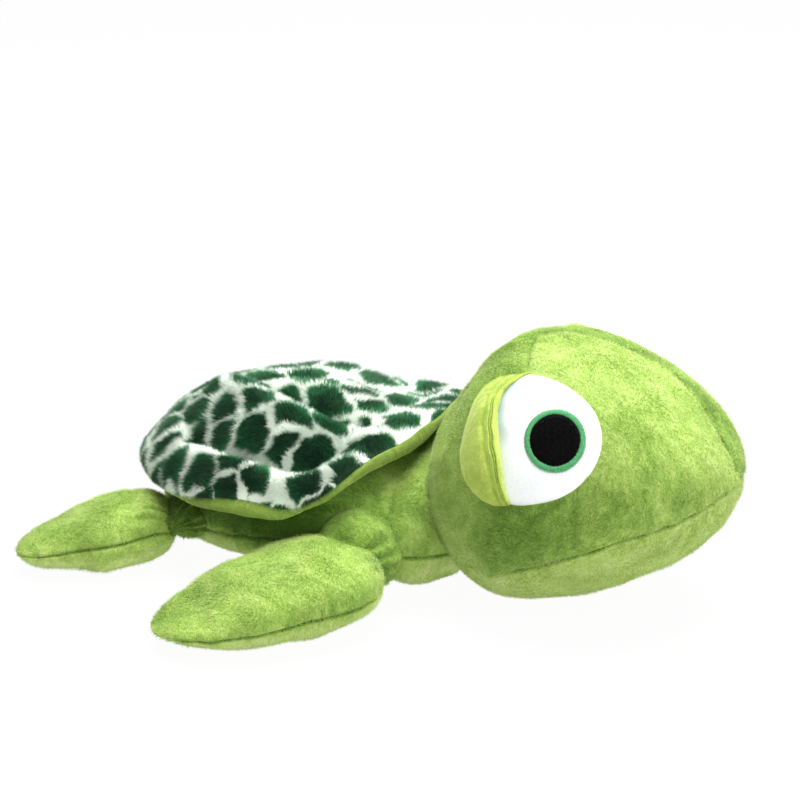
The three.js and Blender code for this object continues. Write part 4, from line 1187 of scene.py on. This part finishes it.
comb = (outward * comb_out + comb_lean) * combed[..., None] - hanging[..., None] * [0, 0, comb_hang]
comb = comb + comb_swept * np.stack([ripple(outer_rows, comb_swept_size, 31 + k) for k in range(3)], -1)
add_values(shell_cover, "comb", np.concatenate([
    [comb_middle], comb.reshape(-1, 3), np.zeros((inside.size + 1, 3))]))
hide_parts("shell_cover", "shell_wadding")
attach(shell_cover, "torso")
for part, seed in (("a", 1), ("b", 2)):
    fur = grow_pile(f"shell_fur_{part}", shell_cover, printed_fur, **{
        "Density": fur_density, "Length": fur_length, "Width": fur_width, "Loose": fur_loose,
        "Tufted": fur_tufted, "Seed": seed})
    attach(fur, "torso")

# The lining lies inside the cover, comes out round the rim past the seam, and goes back underneath
lining_gap, lining_out, lining_dents = 0.0003, (-0.02, 0.35), (0.0004, 0.012, 41)
# The lining's colours are the lime plush darkened, as painted shade under the shell's rim
lining_plush = plush_material("short pile plush, lining", [
    (0.0, "#607E30"), (0.35, "#78943C"), (0.62, "#8DA84C"), (1.0, "#A8C464")], "#E9FFA0")
lining_bends = np.linspace(math.pi / 2, -math.pi / 2, lining_bend_rows)[1:]
below_rings = np.linspace(1 - rim_ring, 0, below_rows)[1:-1]
lining_free = shell_rows(lining_bends, 0, below_rings)
lining_tucked = shell_rows(lining_bends, pile_height + fur_cloth + lining_gap, below_rings)
row_bend = np.concatenate([
    np.full(len(top_rings), math.pi / 2), lining_bends, np.full(len(below_rings), -math.pi / 2)])
shown = smooth_step(seam_bend[None, :] - row_bend[:, None], *lining_out)
lining_rows = lining_tucked + (lining_free - lining_tucked) * shown[..., None]
lining_rows[..., 2] += dents(lining_rows, [lining_dents]) * shown
shell_lining = closed_loft(
    "shell_lining_plush", lining_rows, lining_rows[0].mean(axis=0), lining_rows[-1].mean(axis=0),
    lining_plush)
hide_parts("shell_lining")
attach(shell_lining, "torso")

# Flippers: flat stuffed paddles of two plush panels, sewn round the edge and gathered at the root.
# A round shoulder of the body's plush joins each to the body. Right-hand ones are drawn, and the
# left-hand ones mirror them.
flippers = {
    "front": {
        "length": 0.1215, "chord": 0.081, "thick": 0.023, "tip_drop": 0.014, "root_drop": 0.0035,
        "underside": 1.1, "blunt": 0.43, "sweep": math.radians(46), "seam": 0.5,
        "pleats": {"depth": 0.0006, "reach": 0.16}, "bow": 0.0,
        "trim": {"slimmer": 0.12, "places": (-0.8, -0.4), "wider": 0.05},
        # A shoulder's tint is painted shade, as under the shell's rim
        "shoulder": {"middle": (0.0705, -0.067, 0.0310), "reach": (0.0235, 0.021, 0.0220),
                     "gathers": 0.0012, "gathers_from": 0.15, "tint": -0.16}},
    "rear": {
        "length": 0.0865, "chord": 0.057, "thick": 0.022, "tip_drop": 0.006, "root_drop": 0,
        "underside": 0.95, "blunt": 0.38, "sweep": math.radians(59), "seam": 0.465,
        "pleats": {"depth": 0.0012, "reach": 0.40}, "bow": 0.0045,
        "trim": {"slimmer": 0.34, "places": (-0.42, -0.02), "wider": 0.0},
        "shoulder": {"middle": (-0.038, -0.058, 0.0265), "reach": (0.0175, 0.017, 0.0100),
                     "gathers": 0.0009, "gathers_from": -2, "tint": -0.30}},
}
paddle_columns, paddle_row_count, shoulder_columns, shoulder_row_count = 150, 130, 108, 62
paddle_stitches, paddle_pull, paddle_puckers = (0.0021, 0.0010), (0.0012, 0.006), (0.35, 0.010, 51)
paddle_dents = [(0.0006, 0.035, 52), (0.00025, 0.012, 53)]
pleats_round, pleats_uneven = 17, 2.2
clear_at_rest, clear_when_lifted = 0.0012, 0.0010
underside_painted_light, underside_turns = 0.26, (0, 0.3)
gathers_round, gathers_uneven, shoulder_dents = 15, 2.0, (0.0007, 0.016, 61)


def paddle_form(size, root):
    def middle(share):
        return -size["tip_drop"] * share - size["root_drop"] * smooth_step(-share, -0.4, -0.05)
    return {
        "start": 0, "length": size["length"], "middle": middle,
        "round": 0.9, "round_below": size["underside"],
        "half": lambda share: size["chord"] / 2 * fullness(share, 0.4, size["blunt"]),
        "rise": lambda share: size["thick"] * fullness(share, 0.22, 0.8),
        "drop": lambda share: (middle(share) + root[2] + ground_cut) * fullness(share, 0.45, 0.65),
    }


def beside_body(points, gap):
    """Moves points of a right-hand flipper out of the body, so that they lie against its side"""
    share = np.clip((points[..., 0] + body_rear) / body_length, 0.001, 0.999)
    up = points[..., 2] - body_middle(share)
    tall = np.where(up > 0, body_form["rise"](share), body_form["drop"](share))
    sine = np.clip(np.abs(up) / np.maximum(tall, 1e-6), 0, 1) ** (1 / body_round)
    half = body_form["half"](share) * np.sqrt(1 - sine ** 2) ** body_round
    moved = points.copy()
    inside = (points[..., 0] > -body_rear) & (points[..., 0] < 0.1) & (half > 0.004)
    moved[..., 1] = np.where(inside, np.minimum(points[..., 1], -(half + gap)), points[..., 1])
    return moved


def lifted(points, root, sweep, angle):
    """Turns points of a right-hand flipper about its flap joint"""
    axis = np.array([-math.cos(sweep), math.sin(sweep), 0])
    away = points - root
    return (root + away * math.cos(angle) + np.cross(axis, away) * math.sin(angle)
            + axis * (away @ axis)[..., None] * (1 - math.cos(angle)))


def paddle_rows(size, form):
    """A paddle's rows of points along x from its root, its turns, and how far each point is from the seam"""
    seam_places = [0.5 - size["seam"], size["seam"] % 1]
    turns = crowded(paddle_columns, seam_places, extra=6)
    rows = form_rows(form, paddle_row_count, turns)
    to_seam = to_columns(rows, *(column_at(turns, place) for place in seam_places))
    x, y, z = np.moveaxis(rows, -1, 0)
    share = x / size["length"]
    wavy = 2 * math.pi * turns * pleats_round + pleats_uneven * np.sin(2 * math.pi * turns * 3 + 1)
    pleats = size["pleats"]["depth"] * np.sin(wavy) * smooth_step(share, size["pleats"]["reach"], 0.04)
    push = (pleats + dents(rows, paddle_dents) - grooves(to_seam, [paddle_stitches])
            - grooves(to_seam, [paddle_pull]) * puckers(rows, *paddle_puckers))
    push = push * smooth_step(x, 0, 0.006) * smooth_step(size["length"] - x, 0, 0.005)
    rows = pushed_out(rows, push)
    x, y, z = np.moveaxis(rows, -1, 0)
    trim = size["trim"]
    y *= 1 - trim["slimmer"] * smooth_step(y, 0, 0.02) * smooth_step(-share, *trim["places"])
    y *= 1 + trim["wider"] * smooth_step(-y, 0, 0.02) * crease(share - 0.7, 0.3)
    y -= size["bow"] * (np.sin(math.pi * np.clip(share, 0, 1)) ** 2 - 0.55 * smooth_step(share, 0.55, 1))
    return rows, turns, to_seam


def shoulder_rows(shoulder):
    """A round shoulder's rows of points, gathered on its outer side"""
    def round_half(share):
        return fullness(share, 0.5, 0.5)
    ball = {"start": -1, "length": 2, "round": 1.0, "middle": lambda share: 0 * share,
            "half": round_half, "rise": round_half, "drop": round_half}
    middle, reach = np.array(shoulder["middle"]), np.array(shoulder["reach"])
    rows = form_rows(ball, shoulder_row_count, np.arange(shoulder_columns) / shoulder_columns)
    rows = rows * reach + middle
    x, y, z = np.moveaxis(rows - middle, -1, 0)
    around = np.arctan2(z, x)
    gathers = np.sin(gathers_round * around + gathers_uneven * np.sin(3 * around))
    start = shoulder["gathers_from"]
    gathers = gathers * smooth_step(-y, 0, 0.006) * smooth_step(x / reach[0], start, start + 0.5)
    rows = pushed_out(rows, shoulder["gathers"] * gathers + dents(rows, [shoulder_dents]))
    rows[..., 2] = np.maximum(rows[..., 2], 0.001)
    return rows, middle, reach


joints = {joint["name"]: joint for joint in frame["joints"]}
for end, flipper in flippers.items():
    flap, sweep = joints[f"{end}_flap_right"], flipper["sweep"]
    root = np.array(flap["pos_m"])
    form = paddle_form(flipper, root)
    rows, turns, to_seam = paddle_rows(flipper, form)
    heading = -math.pi / 2 - sweep
    spin = np.array([[math.cos(heading), math.sin(heading), 0], [-math.sin(heading), math.cos(heading), 0],
                     [0, 0, 1]])
    placed = [beside_body(points @ spin + root, clear_at_rest) for points in (rows, *ends_of(form))]
    for angle in np.radians(flap["range_deg"])[::-1]:
        placed = [beside_body(lifted(points, root, sweep, angle), clear_when_lifted) for points in placed]
        placed = [lifted(points, root, sweep, -angle) for points in placed]
    at_edge_seam = with_ends(crease(to_seam, stitch_width))
    underside = smooth_step(-np.sin(2 * math.pi * turns), *underside_turns)
    underside = np.repeat(underside[None], len(rows), axis=0)
    for name, side in sides.items():
        mirror = np.array([1, side, 1])
        laid = [np.maximum(points * mirror, [-9, -9, 0.0]) for points in placed]
        paddle = closed_loft(f"{end}_flipper_plush_{name}", *laid, lime_plush)
        # Painted light on the underside, as from the white floor, and painted shade along the edge seam's
        # groove
        add_values(paddle, "tint", underside_painted_light * with_ends(underside) + seam_painted_shade * at_edge_seam)
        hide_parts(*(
            f"{end}_flipper_{part}_{name}" for part in ("stuffing", "upper_cover", "lower_cover")))
        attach(paddle, f"{end}_paddle_{name}")
        grow_nap(paddle, lambda nap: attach(nap, f"{end}_paddle_{name}"), at_edge_seam)

        rows, middle, reach = shoulder_rows(flipper["shoulder"])
        tips = [(middle + reach * [way, 0, 0]) * mirror for way in (-1, 1)]
        shoulder = closed_loft(f"{end}_shoulder_{name}", rows * mirror, *tips, lime_plush)
        # Painted shade over the whole shoulder, as under the shell's rim
        add_values(shoulder, "tint", np.full(len(shoulder.data.vertices), flipper["shoulder"]["tint"]))
        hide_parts(f"{end}_flipper_root_{name}")
        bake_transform(shoulder)
        grow_nap(shoulder, lambda nap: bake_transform(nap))

# Floor, light and camera: a sheet of white paper that glows softly, as lit paper does in a photograph,
# under a big softbox overhead and a smaller one in front, inside an even white surround.
floor_reach, paper_glow, paper_glow_seen = 4, 0.62, 0.34
surround_light, surround_seen = 0.42, 1.0
softboxes = {
    "top softbox": {"place": (0.12, 0.22, 1.3), "size": 1.1, "power": 31},
    "front softbox": {"place": (1.6, -0.5, 0.9), "size": 0.8, "power": 14},
}
light_aim = (0.05, 0, 0.05)
camera_place, camera_aim, camera_lens = (0.5494, -1.0430, 0.5559), (0.0400, 0.0494, 0.0689), 102.4


def paper_material():
    material, tree = new_material("white paper sweep")
    paper = add_node(tree, "ShaderNodeBsdfDiffuse", {"Color": (0.86, 0.86, 0.86, 1)})
    glow = add_node(tree, "ShaderNodeEmission", {"Color": (1, 1, 1, 1), "Strength": 1.0})
    seen = add_node(tree, "ShaderNodeLightPath").outputs["Is Camera Ray"]
    share = add_node(tree, "ShaderNodeMath", {
        0: seen, 1: paper_glow_seen, 2: paper_glow}, operation="MULTIPLY_ADD")
    mixed = add_node(tree, "ShaderNodeMixShader", {0: share, 1: paper, 2: glow})
    add_node(tree, "ShaderNodeOutputMaterial", {"Surface": mixed})
    return material


floor_corners = floor_reach * np.array([(-1, -1, 0), (1, -1, 0), (1, 1, 0), (-1, 1, 0)])
floor = piece_from("floor", floor_corners, [(0, 1, 2, 3)], paper_material())

world = bpy.data.worlds.new("studio")
world.use_nodes = True
bpy.context.scene.world = world
world.node_tree.nodes.clear()
seen = add_node(world.node_tree, "ShaderNodeLightPath").outputs
bright = add_node(world.node_tree, "ShaderNodeMath", {
    0: seen["Is Camera Ray"], 1: seen["Is Glossy Ray"]}, operation="MAXIMUM")
strength = add_node(world.node_tree, "ShaderNodeMapRange", {
    "Value": bright, "To Min": surround_light, "To Max": surround_seen})
sky = add_node(world.node_tree, "ShaderNodeBackground", {"Color": (1, 1, 1, 1), "Strength": strength})
add_node(world.node_tree, "ShaderNodeOutputWorld", {"Surface": sky})


def aimed(data, place, target):
    """A lamp or camera in its place, turned towards its target"""
    held = bpy.data.objects.new(data.name, data)
    held.location = place
    held.rotation_euler = (Vector(target) - Vector(place)).to_track_quat("-Z", "Y").to_euler()
    bpy.context.scene.collection.objects.link(held)
    return held


for name, softbox in softboxes.items():
    data = bpy.data.lights.new(name, "AREA")
    data.shape = "SQUARE"
    data.size = softbox["size"]
    data.energy = softbox["power"]
    aimed(data, softbox["place"], light_aim)

camera_data = bpy.data.cameras.new("camera")
camera_data.lens = camera_lens
bpy.context.scene.camera = aimed(camera_data, camera_place, camera_aim)
bpy.context.scene.view_settings.view_transform = "Standard"
